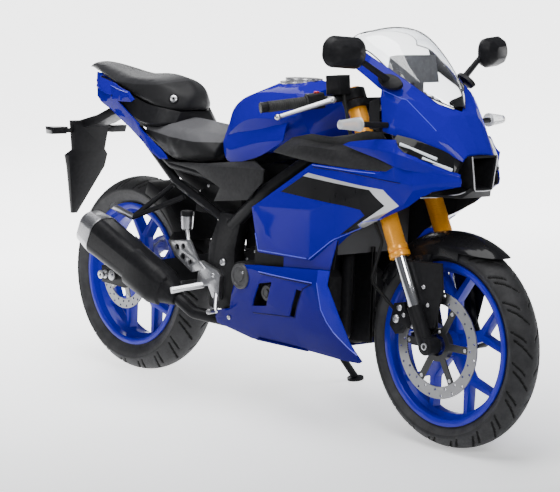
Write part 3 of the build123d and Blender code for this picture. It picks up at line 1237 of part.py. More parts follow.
# Side stand on its clevis, with a foot that lies flat on the road when the bike leans
LEAN = radians(LEAN_DEG)
ROAD_UP = Vector(0, -sin(LEAN), cos(LEAN))
STAND_PIVOT = Vector(600, 168, 272)
STAND_FOOT = Vector(695, 290, 290 * tan(LEAN))
STAND_FOLDED = Vector(-270, 40, -50)
stand_down = STAND_FOOT - STAND_PIVOT
stand_axis = stand_down.cross(STAND_FOLDED).normalized()
STAND_PIN_RADIUS = 6.0
STAND_HEAD_HALF = 7.0
crown_front, crown_rear = [((row[3] / 2) ** 2 + row[5] ** 2) / (2 * row[5]) for row in TYRES]
share = STAND_FOOT.X / WHEELBASE
sink = (crown_front * share + crown_rear * (1 - share)) * (1 - cos(LEAN))
foot_base = STAND_FOOT - ROAD_UP * sink
with BuildPart() as side_stand:
    with BuildSketch(Plane(origin=STAND_PIVOT - stand_axis * STAND_HEAD_HALF, z_dir=stand_axis)):
        Circle(17.0)
    extrude(amount=STAND_HEAD_HALF * 2)
    stand_way = stand_down.normalized()
    neck = Plane(origin=STAND_PIVOT - stand_axis * STAND_HEAD_HALF, x_dir=stand_way, z_dir=stand_axis)
    with BuildSketch(neck):
        with Locations((24.0, 0)):
            Rectangle(48.0, 24.0)
    extrude(amount=STAND_HEAD_HALF * 2)
    add(rod(STAND_PIVOT + stand_way * 36.0, foot_base + ROAD_UP * 7.0, 11.0))
    with BuildSketch(Plane(origin=foot_base, z_dir=ROAD_UP)):
        Circle(26.0)
    extrude(amount=8.0)
    with BuildSketch(Plane(origin=STAND_PIVOT - stand_axis * 20.0, z_dir=stand_axis)):
        Circle(STAND_PIN_RADIUS + FIT)
    extrude(amount=40.0, mode=Mode.SUBTRACT)
built["side_stand"] = side_stand

CHEEK_THICK = 6.0
CHEEK_GAP = 0.6
stand_back = (stand_down.normalized() + STAND_FOLDED.normalized()).normalized() * -1.0
with BuildPart() as stand_bracket:
    for way in (-1, 1):
        start = way * (STAND_HEAD_HALF + CHEEK_GAP)
        cheek = Plane(origin=STAND_PIVOT + stand_axis * start, x_dir=stand_back, z_dir=stand_axis * way)
        with BuildSketch(cheek):
            Circle(18.0)
            with Locations((24.0, 0)):
                Rectangle(48.0, 36.0)
        extrude(amount=CHEEK_THICK)
    block_base = STAND_PIVOT - stand_axis * (STAND_HEAD_HALF + CHEEK_GAP)
    with BuildSketch(Plane(origin=block_base, x_dir=stand_back, z_dir=stand_axis)):
        with Locations((36.0, 0)):
            Rectangle(24.0, 36.0)
    extrude(amount=(STAND_HEAD_HALF + CHEEK_GAP) * 2)
    with BuildSketch(Plane(origin=STAND_PIVOT - stand_axis * 13.0, z_dir=stand_axis)):
        Circle(STAND_PIN_RADIUS)
    extrude(amount=26.0)
    add(frame.part, mode=Mode.SUBTRACT)
with BuildPart() as whole_frame:
    add(frame.part)
    add(stand_bracket.part)
built["main_frame"] = whole_frame

# Park the bike: lean every piece onto the stand and centre its box over the origin
lean = Location((0, 0, 0), (-LEAN_DEG, 0, 0))
parked = {name: lean * part.part for name, part in built.items()}
boxes = [part.bounding_box() for part in parked.values()]
middle_x = (min(box.min.X for box in boxes) + max(box.max.X for box in boxes)) / 2
middle_y = (min(box.min.Y for box in boxes) + max(box.max.Y for box in boxes)) / 2
road = min(box.min.Z for box in boxes)
shift = Location((-middle_x, -middle_y, -road))
os.makedirs("parts", exist_ok=True)
for name, part in parked.items():
    placed = shift * part
    placed.label = name
    export_step(placed, f"parts/{name}.step")
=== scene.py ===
"""Dress the parked sport bike: painted fairings, road tyres, padded seats, brakes, lamps and trim."""

from __future__ import annotations

import json
import logging
import math
from dataclasses import dataclass
from enum import Enum
from typing import Iterable, Sequence

import bpy
from mathutils import Matrix, Vector

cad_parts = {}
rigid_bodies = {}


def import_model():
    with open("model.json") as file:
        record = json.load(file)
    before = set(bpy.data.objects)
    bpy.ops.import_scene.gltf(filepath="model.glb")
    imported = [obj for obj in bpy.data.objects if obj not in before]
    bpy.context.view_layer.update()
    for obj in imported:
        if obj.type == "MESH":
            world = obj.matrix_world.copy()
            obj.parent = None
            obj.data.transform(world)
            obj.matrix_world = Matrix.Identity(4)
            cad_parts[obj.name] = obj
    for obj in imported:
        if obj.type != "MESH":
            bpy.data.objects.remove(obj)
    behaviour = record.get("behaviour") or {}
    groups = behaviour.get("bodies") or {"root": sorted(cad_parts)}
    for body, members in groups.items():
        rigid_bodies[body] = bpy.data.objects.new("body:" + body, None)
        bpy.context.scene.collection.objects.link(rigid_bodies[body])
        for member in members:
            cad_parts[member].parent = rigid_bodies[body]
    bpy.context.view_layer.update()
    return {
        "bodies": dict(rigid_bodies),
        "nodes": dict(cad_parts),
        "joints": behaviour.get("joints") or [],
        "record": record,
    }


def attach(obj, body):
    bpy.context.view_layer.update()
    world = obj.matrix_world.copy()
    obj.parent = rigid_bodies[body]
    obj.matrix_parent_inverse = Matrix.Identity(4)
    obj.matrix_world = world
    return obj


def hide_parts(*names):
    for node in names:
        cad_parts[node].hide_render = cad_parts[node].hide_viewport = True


LOG = logging.getLogger("sport_bike")
MM = 0.001
PHOTO_WIDTH = 560.0
Point = tuple[float, float, float]
Pair = tuple[float, float]
Socket = bpy.types.NodeSocket


class Body(Enum):
    """Bodies of the bike that pieces ride on."""

    CHASSIS = "chassis"
    FORK = "fork"
    FRONT_WHEEL = "front_wheel"
    REAR_WHEEL = "rear_wheel"
    SIDE_STAND = "side_stand"
    FUEL_CAP = "fuel_cap"


class Brushing(Enum):
    """Directions that a metal surface is brushed in, as stretch factors of its grain."""

    NONE = (1.0, 1.0, 1.0)
    ALONG = (0.04, 1.0, 1.0)


@dataclass(frozen=True)
class BikeSpace:
    """Upright bike frame in millimetres, leaned and moved to where the bike is parked."""

    lean_deg: float
    shift: Vector

    @classmethod
    def from_record(cls, record: dict, lean_deg: float = 9.0) -> "BikeSpace":
        """Work out the parked place from the front wheel's joint.

        Args:
            record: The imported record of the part.
            lean_deg: Lean onto the side stand.

        Returns:
            The space that places upright measures on the parked bike.
        """
        joints = {joint["name"]: joint for joint in record["behaviour"]["joints"]}
        axle = Vector(joints["front_wheel_spin"]["pos_m"])
        return cls(lean_deg, axle - cls(lean_deg, Vector()).at(1380.0, 0.0, 292.0))

    @property
    def turn(self) -> Matrix:
        """Rotation from the upright bike to the parked one."""
        return Matrix.Rotation(math.radians(-self.lean_deg), 3, "X")

    def at(self, x: float, y: float, z: float) -> Vector:
        """Place a point given in the upright bike's millimetres."""
        return self.turn @ Vector((x, y, z)) * MM + self.shift

    def back(self, point: Vector) -> Vector:
        """Give a parked point's place in the upright bike's millimetres."""
        return self.turn.transposed() @ (point - self.shift) / MM


class Graph:
    """Node tree of one procedural material on Object coordinates."""

    def __init__(self, name: str) -> None:
        """Start a material with an empty Principled surface."""
        self.material = bpy.data.materials.new(name)
        self.material.use_nodes = True
        self.tree = self.material.node_tree
        self.shader = self.tree.nodes["Principled BSDF"]
        self.place = self.tree.nodes.new("ShaderNodeTexCoord")

    def set(self, **values: object) -> None:
        """Set the surface's own sockets, named with underscores."""
        for name, value in values.items():
            self.shader.inputs[name.replace("_", " ").title().replace("Ior", "IOR")].default_value = value

    def noise(self, scale: float, detail: float = 3.0, stretch: Point = (1.0, 1.0, 1.0)) -> Socket:
        """Add a noise pattern.

        Args:
            scale: Features per metre.
            detail: Octaves of the pattern.
            stretch: Factors that draw the pattern out along the axes.

        Returns:
            The pattern's value socket.
        """
        mapping = self.tree.nodes.new("ShaderNodeMapping")
        mapping.inputs["Scale"].default_value = stretch
        self.tree.links.new(self.place.outputs["Object"], mapping.inputs["Vector"])
        texture = self.tree.nodes.new("ShaderNodeTexNoise")
        texture.inputs["Scale"].default_value = scale
        texture.inputs["Detail"].default_value = detail
        self.tree.links.new(mapping.outputs["Vector"], texture.inputs["Vector"])
        return texture.outputs["Fac"]

    def cells(self, scale: float) -> Socket:
        """Add a cell pattern and give its distance socket."""
        texture = self.tree.nodes.new("ShaderNodeTexVoronoi")
        texture.inputs["Scale"].default_value = scale
        self.tree.links.new(self.place.outputs["Object"], texture.inputs["Vector"])
        return texture.outputs["Distance"]

    def ramp(
        self, value: Socket, low: Sequence[float], high: Sequence[float], span: Pair = (0.3, 0.7)
    ) -> Socket:
        """Blend two colours by a pattern.

        Args:
            value: Pattern that drives the blend.
            low: Colour where the pattern is low.
            high: Colour where it is high.
            span: Pattern values between which the blend runs.

        Returns:
            The blended colour's socket.
        """
        ramp = self.tree.nodes.new("ShaderNodeValToRGB")
        ends = ramp.color_ramp.elements
        ends[0].position, ends[1].position = span
        ends[0].color, ends[1].color = (*low, 1.0), (*high, 1.0)
        self.tree.links.new(value, ramp.inputs["Fac"])
        return ramp.outputs["Color"]

    def vector(self, kind: str, first: Socket, second: Point | None = None) -> bpy.types.Node:
        """Add a vector sum on a socket and a fixed second vector."""
        node = self.tree.nodes.new("ShaderNodeVectorMath")
        node.operation = kind
        self.tree.links.new(first, node.inputs[0])
        if second is not None:
            node.inputs[1].default_value = second
        return node

    def span(self, value: Socket, low: float, high: float, top: float = 1.0, base: float = 0.0) -> Socket:
        """Map a value's span to a base value up to a top value."""
        node = self.tree.nodes.new("ShaderNodeMapRange")
        node.inputs["To Min"].default_value = base
        node.inputs["From Min"].default_value = low
        node.inputs["From Max"].default_value = high
        node.inputs["To Max"].default_value = top
        self.tree.links.new(value, node.inputs["Value"])
        return node.outputs["Result"]

    def painted_shade_below(self, colour: Socket, low: float, high: float, least: float) -> Socket:
        """Darken a colour below a height, as painted shade.

        Args:
            colour: Colour to darken.
            low: Height in metres below which it is darkest.
            high: Height above which it keeps its own shade.
            least: Share of the colour that is left at the bottom.

        Returns:
            The darkened colour's socket.
        """
        height = self.vector("DOT_PRODUCT", self.place.outputs["Object"], (0.0, 0.0, 1.0)).outputs["Value"]
        scaled = self.vector("SCALE", colour)
        self.tree.links.new(self.span(height, low, high, 1.0, least), scaled.inputs["Scale"])
        return scaled.outputs["Vector"]

    def colour(self, socket: Socket) -> None:
        """Drive the surface's colour."""
        self.tree.links.new(socket, self.shader.inputs["Base Color"])

    def rough(self, value: Socket, low: float, high: float) -> None:
        """Drive the surface's roughness between two values."""
        shade = self.ramp(value, (low,) * 3, (high,) * 3)
        self.tree.links.new(shade, self.shader.inputs["Roughness"])

    def bump(self, value: Socket, depth_mm: float, strength: float = 1.0) -> None:
        """Raise the surface by a pattern."""
        node = self.tree.nodes.new("ShaderNodeBump")
        node.inputs["Distance"].default_value = depth_mm * MM
        node.inputs["Strength"].default_value = strength
        self.tree.links.new(value, node.inputs["Height"])
        self.tree.links.new(node.outputs["Normal"], self.shader.inputs["Normal"])


@dataclass(frozen=True)
class Lacquer:
    """Painted panel under clear coat, with fine flake and orange peel, and painted shade that can darken it
    towards the road.
    """

    name: str
    deep: Point
    bright: Point
    metallic: float = 0.3
    roughness: float = 0.3
    coat: float = 1.0
    specular: float = 0.3
    # share of the colour that is left close to the road, as painted shade
    painted_shade_share: float = 1.0

    def make(self) -> bpy.types.Material:
        """Build the material."""
        graph = Graph(self.name)
        flake = graph.noise(2600.0, 1.0)
        flakes = graph.ramp(flake, self.deep, self.bright, (0.35, 0.75))
        # painted shade: the colour darkens from 0.62 m down to 0.2 m above the road
        graph.colour(graph.painted_shade_below(flakes, 0.2, 0.62, self.painted_shade_share))
        graph.rough(graph.noise(35.0), self.roughness - 0.04, self.roughness + 0.06)
        graph.bump(graph.noise(420.0, 1.0), 0.02, 0.35)
        graph.set(metallic=self.metallic, specular_ior_level=self.specular)
        graph.set(coat_weight=self.coat, coat_roughness=0.04)
        return graph.material


@dataclass(frozen=True)
class Moulding:
    """Moulded plastic or powder coat with a fine grain."""

    name: str
    colour: Point
    roughness: float = 0.45
    grain_mm: float = 0.05
    metallic: float = 0.0
    specular: float = 0.09

    def make(self) -> bpy.types.Material:
        """Build the material."""
        graph = Graph(self.name)
        shade = graph.noise(90.0, 4.0)
        pale = tuple(c * 1.35 + 0.002 for c in self.colour)
        graph.colour(graph.ramp(shade, self.colour, pale))
        graph.rough(graph.noise(240.0), self.roughness - 0.07, self.roughness + 0.07)
        graph.bump(graph.noise(1500.0, 2.0), self.grain_mm, 0.5)
        graph.set(metallic=self.metallic, specular_ior_level=self.specular)
        return graph.material


@dataclass(frozen=True)
class BareMetal:
    """Bare or anodised metal with brush marks."""

    name: str
    colour: Point
    roughness: float = 0.3
    brushing: Brushing = Brushing.NONE
    metallic: float = 1.0

    def make(self) -> bpy.types.Material:
        """Build the material."""
        graph = Graph(self.name)
        marks = graph.noise(900.0, 3.0, self.brushing.value)
        dark = tuple(c * 0.82 for c in self.colour)
        graph.colour(graph.ramp(marks, dark, self.colour))
        graph.rough(marks, max(self.roughness - 0.08, 0.02), self.roughness + 0.08)
        graph.bump(marks, 0.01, 0.3)
        graph.set(metallic=self.metallic)
        return graph.material


@dataclass(frozen=True)
class RoadRubber:
    """Tyre rubber, dusty in its pores."""

    name: str
    colour: Point
    roughness: float = 0.62

    def make(self) -> bpy.types.Material:
        """Build the material."""
        graph = Graph(self.name)
        dust = graph.noise(30.0, 6.0)
        pale = tuple(c * 1.7 + 0.004 for c in self.colour)
        graph.colour(graph.ramp(dust, self.colour, pale))
        graph.rough(graph.noise(160.0), self.roughness - 0.08, self.roughness + 0.1)
        graph.bump(graph.noise(900.0, 4.0), 0.08, 0.5)
        graph.set(specular_ior_level=0.25)
        return graph.material


@dataclass(frozen=True)
class TwoToneHide:
    """Grained seat vinyl in two colours, parted by the height kept on the mesh."""

    name: str
    upper: Point
    lower: Point
    roughness: float = 0.5
    sheen: float = 0.03
    specular: float = 0.15

    def make(self) -> bpy.types.Material:
        """Build the material."""
        graph = Graph(self.name)
        grain = graph.cells(850.0)
        tone = graph.tree.nodes.new("ShaderNodeAttribute")
        tone.attribute_name = PaddedSeat.TONE
        graph.colour(graph.ramp(tone.outputs["Fac"], self.lower, self.upper, (0.49, 0.51)))
        graph.rough(grain, self.roughness - 0.1, self.roughness + 0.08)
        graph.bump(grain, 0.12, 0.6)
        graph.set(sheen_weight=self.sheen, sheen_roughness=0.4, specular_ior_level=self.specular)
        return graph.material


@dataclass(frozen=True)
class CarrierDisc:
    """Brushed brake ring outside a dark carrier, parted by the distance from the axle."""

    name: str
    axle: Point
    axis: Point
    ring_inner_mm: float
    carrier: Point
    ring: Point = (0.3, 0.3, 0.31)

    def make(self) -> bpy.types.Material:
        """Build the material."""
        graph = Graph(self.name)
        away = graph.vector("SUBTRACT", graph.place.outputs["Object"], self.axle)
        off_axis = graph.vector("CROSS_PRODUCT", away.outputs["Vector"], self.axis)
        reach = graph.vector("LENGTH", off_axis.outputs["Vector"]).outputs["Value"]
        edge = self.ring_inner_mm * MM
        zone = graph.span(reach, edge - 0.0002, edge + 0.0002)
        graph.colour(graph.ramp(zone, self.carrier, self.ring, (0.4, 0.6)))
        marks = graph.span(graph.noise(900.0, 3.0), 0.0, 1.0)
        graph.rough(marks, 0.3, 0.42)
        graph.tree.links.new(zone, graph.shader.inputs["Metallic"])
        return graph.material


@dataclass(frozen=True)
class Lit:
    """Light bar with a soft glow that varies along it."""

    name: str
    colour: Point
    glow: float = 0.8

    def make(self) -> bpy.types.Material:
        """Build the material."""
        graph = Graph(self.name)
        shade = graph.ramp(graph.noise(120.0), tuple(c * 0.8 for c in self.colour), self.colour)
        graph.colour(shade)
        graph.tree.links.new(shade, graph.shader.inputs["Emission Color"])
        graph.set(emission_strength=self.glow, roughness=0.2)
        return graph.material


@dataclass(frozen=True)
class Fins:
    """Dark metal core with close upright fins, with painted shade in the gaps between them."""

    name: str
    colour: Point
    pitch_mm: float = 2.4

    def make(self) -> bpy.types.Material:
        """Build the material."""
        graph = Graph(self.name)
        wave = graph.tree.nodes.new("ShaderNodeTexWave")
        wave.bands_direction = "Y"
        wave.inputs["Scale"].default_value = 0.314 / (self.pitch_mm * MM)
        graph.tree.links.new(graph.place.outputs["Object"], wave.inputs["Vector"])
        # painted shade: the colour drops to 0.3 of itself in the gaps between the fins
        graph.colour(graph.ramp(wave.outputs["Fac"], tuple(c * 0.3 for c in self.colour), self.colour))
        graph.bump(wave.outputs["Fac"], 0.8, 0.8)
        graph.set(metallic=0.6, roughness=0.45)
        return graph.material


@dataclass(frozen=True)
class Clear:
    """Clear or tinted plastic that light passes through."""

    name: str
    colour: Point
    roughness: float = 0.02
    transmission: float = 1.0

    def make(self) -> bpy.types.Material:
        """Build the material."""
        graph = Graph(self.name)
        haze = graph.noise(25.0, 4.0)
        pale = tuple(min(c * 1.04, 1.0) for c in self.colour)
        graph.colour(graph.ramp(haze, self.colour, pale))
        graph.rough(haze, self.roughness, self.roughness + 0.02)
        graph.set(transmission_weight=self.transmission, ior=1.49, coat_weight=0.3)
        return graph.material


class Finishes:
    """Shelf of finishes, each made once."""

    RECIPES = (
        # painted shade: the body blue is darkened towards the road
        Lacquer("blue_lacquer", (0.009, 0.004, 0.2), (0.018, 0.008, 0.34), 0.0, 0.3, 0.14, 0.0, 0.36),
        # painted highlight: a lighter blue on the lower cowl's front blade, where the facet catches the light;
        # also darkened towards the road as painted shade
        Lacquer("blue_blade_painted_highlight", (0.014, 0.009, 0.32), (0.03, 0.02, 0.55), 0.0, 0.28, 0.2, 0.0, 0.5),
        Lacquer("blue_shadow", (0.001, 0.001, 0.03), (0.003, 0.002, 0.06), 0.0, 0.4, 0.0, 0.1),
        # painted highlight: bright blue for the lines along each panel crease
        Lacquer("blue_painted_highlight", (0.05, 0.06, 0.6), (0.09, 0.1, 0.85), 0.1, 0.3, 0.4),
        Lacquer("blue_wheel_lacquer", (0.01, 0.008, 0.28), (0.02, 0.016, 0.47), 0.1, 0.34, 0.15, 0.15),
        Lacquer("black_lacquer", (0.005, 0.005, 0.006), (0.01, 0.01, 0.011), 0.0, 0.26, 0.2, 0.05),
        Lacquer("silver_decal", (0.42, 0.43, 0.45), (0.62, 0.63, 0.66), 0.5, 0.35),
        Lacquer("black_decal", (0.004, 0.004, 0.005), (0.009, 0.009, 0.01), 0.0, 0.3, 0.05, 0.1),
        Moulding("black_satin_plastic", (0.007, 0.007, 0.008), 0.42),
        Moulding("dark_grey_plastic", (0.017, 0.017, 0.018), 0.5, 0.08),
        Moulding("black_paint", (0.007, 0.007, 0.008), 0.38, 0.03),
        Moulding("engine_paint", (0.014, 0.014, 0.015), 0.45, 0.08, 0.3),
        BareMetal("gold_anodising", (1.0, 0.4, 0.025), 0.26, Brushing.NONE, 0.25),
        BareMetal("hard_chrome", (0.82, 0.82, 0.84), 0.07),
        BareMetal("satin_silver", (0.62, 0.62, 0.64), 0.32),
        BareMetal("brushed_steel", (0.5, 0.5, 0.52), 0.33, Brushing.ALONG),
        BareMetal("bolt_zinc", (0.6, 0.6, 0.62), 0.28),
        BareMetal("mirror_glass", (0.75, 0.77, 0.8), 0.02),
        RoadRubber("tyre_rubber", (0.012, 0.012, 0.013)),
        # painted shade: near-black rubber on the groove floors
        RoadRubber("groove_painted_shade_rubber", (0.002, 0.002, 0.002), 0.85),
        RoadRubber("sidewall_rubber", (0.022, 0.022, 0.023), 0.55),
        RoadRubber("grip_rubber", (0.014, 0.014, 0.014), 0.7),
        TwoToneHide("rider_vinyl", (0.085, 0.085, 0.09), (0.012, 0.012, 0.013)),
        TwoToneHide("pillion_vinyl", (0.026, 0.026, 0.028), (0.013, 0.013, 0.014)),
        Lit("led_bar", (0.7, 0.74, 0.8), 0.35),
        Lacquer("red_switch", (0.35, 0.008, 0.01), (0.5, 0.012, 0.015), 0.0, 0.35, 0.3),
        Fins("radiator_core", (0.06, 0.06, 0.065)),
        # painted reflection: the dash is a pale grey for the screen's reflection over it
        Moulding("dash_painted_reflection_grey", (0.16, 0.16, 0.17), 0.5, 0.05),
        Moulding("cover_paint", (0.05, 0.05, 0.052), 0.36, 0.06, 0.4),
        Moulding("rubber_hose", (0.01, 0.01, 0.01), 0.4, 0.04),
        # painted shade: near-black for the open end of the muffler
        Moulding("outlet_painted_shade", (0.004, 0.004, 0.004), 0.7),
        Lacquer("dark_glass", (0.004, 0.004, 0.005), (0.008, 0.008, 0.01), 0.0, 0.12),
        Clear("clear_screen", (0.9, 0.92, 0.94)),
        Clear("clear_lens", (0.86, 0.87, 0.88), 0.05, 0.6),
        Clear("red_lens", (0.55, 0.02, 0.02), 0.05, 0.4),
    )

    def __init__(self) -> None:
        """Start with nothing made."""
        self._recipes = {recipe.name: recipe for recipe in self.RECIPES}
        self._made: dict[str, bpy.types.Material] = {}

    def __getitem__(self, name: str) -> bpy.types.Material:
        """Give a finish by name."""
        if name not in self._made:
            self._made[name] = self._recipes[name].make()
        return self._made[name]


def only(piece: bpy.types.Object) -> None:
    """Leave one object selected and active."""
    bpy.ops.object.select_all(action="DESELECT")
    piece.select_set(True)
    bpy.context.view_layer.objects.active = piece


class Shop:
    """Makes pieces and hangs them on the bike's bodies."""

    def __init__(self, frame: dict) -> None:
        """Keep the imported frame, its space and the finishes."""
        self.nodes: dict[str, bpy.types.Object] = frame["nodes"]
        self.space = BikeSpace.from_record(frame["record"])
        self.finishes = Finishes()
        self.slots = {part["node"]: part["material_slot"] for part in frame["record"]["subparts"]}
        groups = frame["record"]["behaviour"]["bodies"]
        self.bodies = {node: body for body, nodes in groups.items() for node in nodes}

    def shape(self, name: str, points: Iterable[Vector], faces: Sequence[Sequence[int]]) -> bpy.types.Object:
        """Make an object from parked points and faces.

        Args:
            name: Name of the piece.
            points: Vertices in metres on the parked bike.
            faces: Vertex numbers of each face.

        Returns:
            The new object, linked to the scene.
        """
        mesh = bpy.data.meshes.new(name)
        mesh.from_pydata([tuple(point) for point in points], [], faces)
        mesh.validate()
        piece = bpy.data.objects.new(name, mesh)
        bpy.context.scene.collection.objects.link(piece)
        return piece

    def copy_of(self, node: str, name: str) -> bpy.types.Object:
        """Copy a CAD node's mesh with its loose triangles merged.

        Args:
            node: Name of the CAD node.
            name: Name of the new piece.

        Returns:
            The merged copy.
        """
        piece = bpy.data.objects.new(name, self.nodes[node].data.copy())
        bpy.context.scene.collection.objects.link(piece)
        only(piece)
        bpy.ops.mesh.customdata_custom_splitnormals_clear()
        bpy.ops.object.mode_set(mode="EDIT")
        bpy.ops.mesh.select_all(action="SELECT")
        bpy.ops.mesh.remove_doubles(threshold=0.00002)
        bpy.ops.mesh.dissolve_limited(angle_limit=math.radians(0.6))
        bpy.ops.object.mode_set(mode="OBJECT")
        return piece

    def touch(
        self, x: float, way: float, z: float, piece: bpy.types.Object | None = None
    ) -> tuple[Vector, Vector] | None:
        """Find where a line from one side first meets the bike.

        Args:
            x: Upright place along the bike.
            way: Side that the line comes from, -1 for the right.
            z: Upright height.
            piece: Piece to meet, or nothing for whatever comes first.

        Returns:
            Upright place and direction of the skin, or nothing where the line passes by.
        """
        start, run = self.space.at(x, way * 600.0, z), self.space.turn @ Vector((0.0, -way, 0.0))
        if piece is None:
            depsgraph = bpy.context.evaluated_depsgraph_get()
            met, place, normal = bpy.context.scene.ray_cast(depsgraph, start, run)[:3]
        else:
            met, place, normal = piece.ray_cast(start, run)[:3]
        return (self.space.back(place), self.space.turn.transposed() @ normal) if met else None

    def modify(self, piece: bpy.types.Object, kind: str, **settings: object) -> None:
        """Add one modifier with its settings and apply it."""
        only(piece)
        modifier = piece.modifiers.new(kind.title(), kind)
        for name, value in settings.items():
            setattr(modifier, name, value)
        bpy.ops.object.modifier_apply(modifier=modifier.name)

    def face_out(self, piece: bpy.types.Object) -> None:
        """Turn the faces of a mesh outwards."""
        only(piece)
        bpy.ops.object.mode_set(mode="EDIT")
        bpy.ops.mesh.select_all(action="SELECT")
        bpy.ops.mesh.normals_make_consistent(inside=False)
        bpy.ops.object.mode_set(mode="OBJECT")

    def bevel(self, piece: bpy.types.Object, round_mm: float, angle: float, segments: int = 2) -> None:
        """Round the edges that are sharper than an angle in degrees."""
        limit = math.radians(angle)
        self.modify(
            piece, "BEVEL", width=round_mm * MM, segments=segments, limit_method="ANGLE", angle_limit=limit
        )

    def smooth(self, piece: bpy.types.Object, angle: float = 35.0) -> None:
        """Shade a piece smooth up to an angle."""
        only(piece)
        bpy.ops.object.shade_smooth_by_angle(angle=math.radians(angle))

    def paint(self, piece: bpy.types.Object, *finishes: str) -> None:
        """Give a piece its finishes, one per material slot."""
        piece.data.materials.clear()
        for finish in finishes:
            piece.data.materials.append(self.finishes[finish])

    def hang(self, piece: bpy.types.Object, body: Body | str, slot: str, *nodes: str) -> None:
        """Let a piece ride on a body.

        Args:
            piece: Finished piece.
            body: Body that carries it.
            slot: Record slot whose finish it has; not used.
            nodes: CAD nodes that it stands for.
        """
        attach(piece, body.value if isinstance(body, Body) else body)
        if nodes:
            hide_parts(*nodes)
        LOG.info("%s: %d faces on %s", piece.name, len(piece.data.polygons), body)

    def soften(self, node: str, finish: str, round_mm: float, angle: float = 32.0) -> bpy.types.Object:
        """Dress a hard CAD node with rounded edges.

        Args:
            node: CAD node to stand for.
            finish: Finish of the piece.
            round_mm: Width of the rounding along its edges.
            angle: Smallest angle of an edge that is rounded.

        Returns:
            The finished piece.
        """
        piece = self.copy_of(node, f"{node}_piece")
        self.bevel(piece, round_mm, angle)
        self.smooth(piece)
        self.paint(piece, finish)
        self.hang(piece, self.bodies[node], self.slots[node], node)
        return piece


@dataclass
class HardParts:
    """CAD nodes that keep their shape and get rounded edges and a finish."""

    # columns: node, finish, rounding in millimetres
    table: tuple[tuple[str, str, float], ...] = (
        ("engine", "engine_paint", 3.0),
        ("exhaust_header", "black_paint", 1.0),
        ("filler_ring", "satin_silver", 1.2),
        ("fork_clamps", "black_paint", 2.0),
        ("fork_feet", "black_paint", 1.5),
        ("fork_inner_tubes", "hard_chrome", 0.5),
        ("fork_outer_tubes", "gold_anodising", 1.2),
        ("front_axle", "brushed_steel", 0.6),
        ("front_caliper", "black_paint", 2.5),
        ("front_rim", "blue_wheel_lacquer", 2.0),
        ("fuel_cap", "satin_silver", 1.2),
        ("handlebars", "black_paint", 1.0),
        ("intake_duct", "black_satin_plastic", 1.5),
        ("main_frame", "black_paint", 2.0),
        ("muffler", "black_paint", 3.0),
        ("paddock_spools", "satin_silver", 0.8),
        ("rear_axle", "brushed_steel", 0.8),
        ("rear_caliper", "black_paint", 2.0),
        ("rear_fender", "black_satin_plastic", 2.0),
        ("rear_rim", "blue_wheel_lacquer", 2.0),
        ("rear_shock", "black_paint", 1.5),
        ("rear_sprocket", "brushed_steel", 0.5),
        ("side_panels", "dark_grey_plastic", 2.0),
        ("side_stand", "black_paint", 1.5),
        ("steering_stem", "brushed_steel", 0.8),
        ("swingarm", "black_paint", 4.0),
        ("tail_lamp", "red_lens", 2.0),
        ("chain", "brushed_steel", 0.3),
        ("brake_hose", "rubber_hose", 0.4),
    )

    # columns: node that turns in or round another, depth in millimetres that its skin is drawn in
    slack: tuple[tuple[str, float], ...] = (("rear_axle", 0.6),)

    def build(self, shop: Shop) -> None:
        """Dress every node of the table."""
        for node, finish, round_mm in self.table:
            shop.soften(node, finish, round_mm)
        for node, depth in self.slack:
            shop.modify(bpy.data.objects[f"{node}_piece"], "DISPLACE", strength=-depth * MM, mid_level=0.0)


class Stock:
    """Points and faces of one piece that is put together from turned and swept shapes."""

    def __init__(self, space: BikeSpace) -> None:
        """Start empty."""
        self.space = space
        self.points: list[Vector] = []
        self.faces: list[tuple[int, ...]] = []

    def rings(self, rings: Sequence[Sequence[Vector]]) -> None:
        """Join rings of upright points into a closed skin with end caps."""
        start, count = len(self.points), len(rings[0])
        for ring in rings:
            self.points.extend(self.space.at(*point) for point in ring)
        for row in range(len(rings) - 1):
            here, there = start + row * count, start + (row + 1) * count
            for i in range(count):
                j = (i + 1) % count
                self.faces.append((here + i, here + j, there + j, there + i))
        last = start + (len(rings) - 1) * count
        self.faces.append(tuple(start + i for i in reversed(range(count))))
        self.faces.append(tuple(last + i for i in range(count)))

    def lathe(self, base: Vector, axis: Vector, profile: Sequence[Pair], steps: int = 20) -> None:
        """Turn a profile about an axis.

        Args:
            base: Upright place where the axis starts.
            axis: Direction of the axis.
            profile: Rows of distance along the axis and radius, which stays above zero.
            steps: Corners of each ring.
        """
        axis = axis.normalized()
        first = axis.orthogonal().normalized()
        second = axis.cross(first)
        spoke_turns = [2 * math.pi * i / steps for i in range(steps)]
        spokes = [first * math.cos(a) + second * math.sin(a) for a in spoke_turns]
        self.rings([[base + axis * along + spoke * radius for spoke in spokes] for along, radius in profile])

    def sweep(self, path: Sequence[Vector], radius: float, steps: int = 10) -> None:
        """Run a round section along an upright path."""
        side = (path[1] - path[0]).orthogonal().normalized()
        rings = []
        for i, point in enumerate(path):
            run = (path[min(i + 1, len(path) - 1)] - path[max(i - 1, 0)]).normalized()
            side = (side - run * side.dot(run)).normalized()
            over = run.cross(side)
            turns = [2 * math.pi * k / steps for k in range(steps)]
            rings.append([point + (side * math.cos(a) + over * math.sin(a)) * radius for a in turns])
        self.rings(rings)

    def piece(self, shop: Shop, name: str, finish: str, angle: float = 35.0) -> bpy.types.Object:
        """Make the object, turn its faces outwards and give it a finish."""
        piece = shop.shape(name, self.points, self.faces)
        shop.face_out(piece)
        shop.smooth(piece, angle)
        shop.paint(piece, finish)
        return piece


def inside(point: Pair, outline: Sequence[Pair]) -> bool:
    """Tell whether a flat point lies inside a closed outline."""
    crossings = 0
    for (x1, z1), (x2, z2) in zip(outline, [*outline[1:], outline[0]]):
        if (z1 > point[1]) != (z2 > point[1]) and point[0] < (x2 - x1) * (point[1] - z1) / (z2 - z1) + x1:
            crossings += 1
    return crossings % 2 == 1


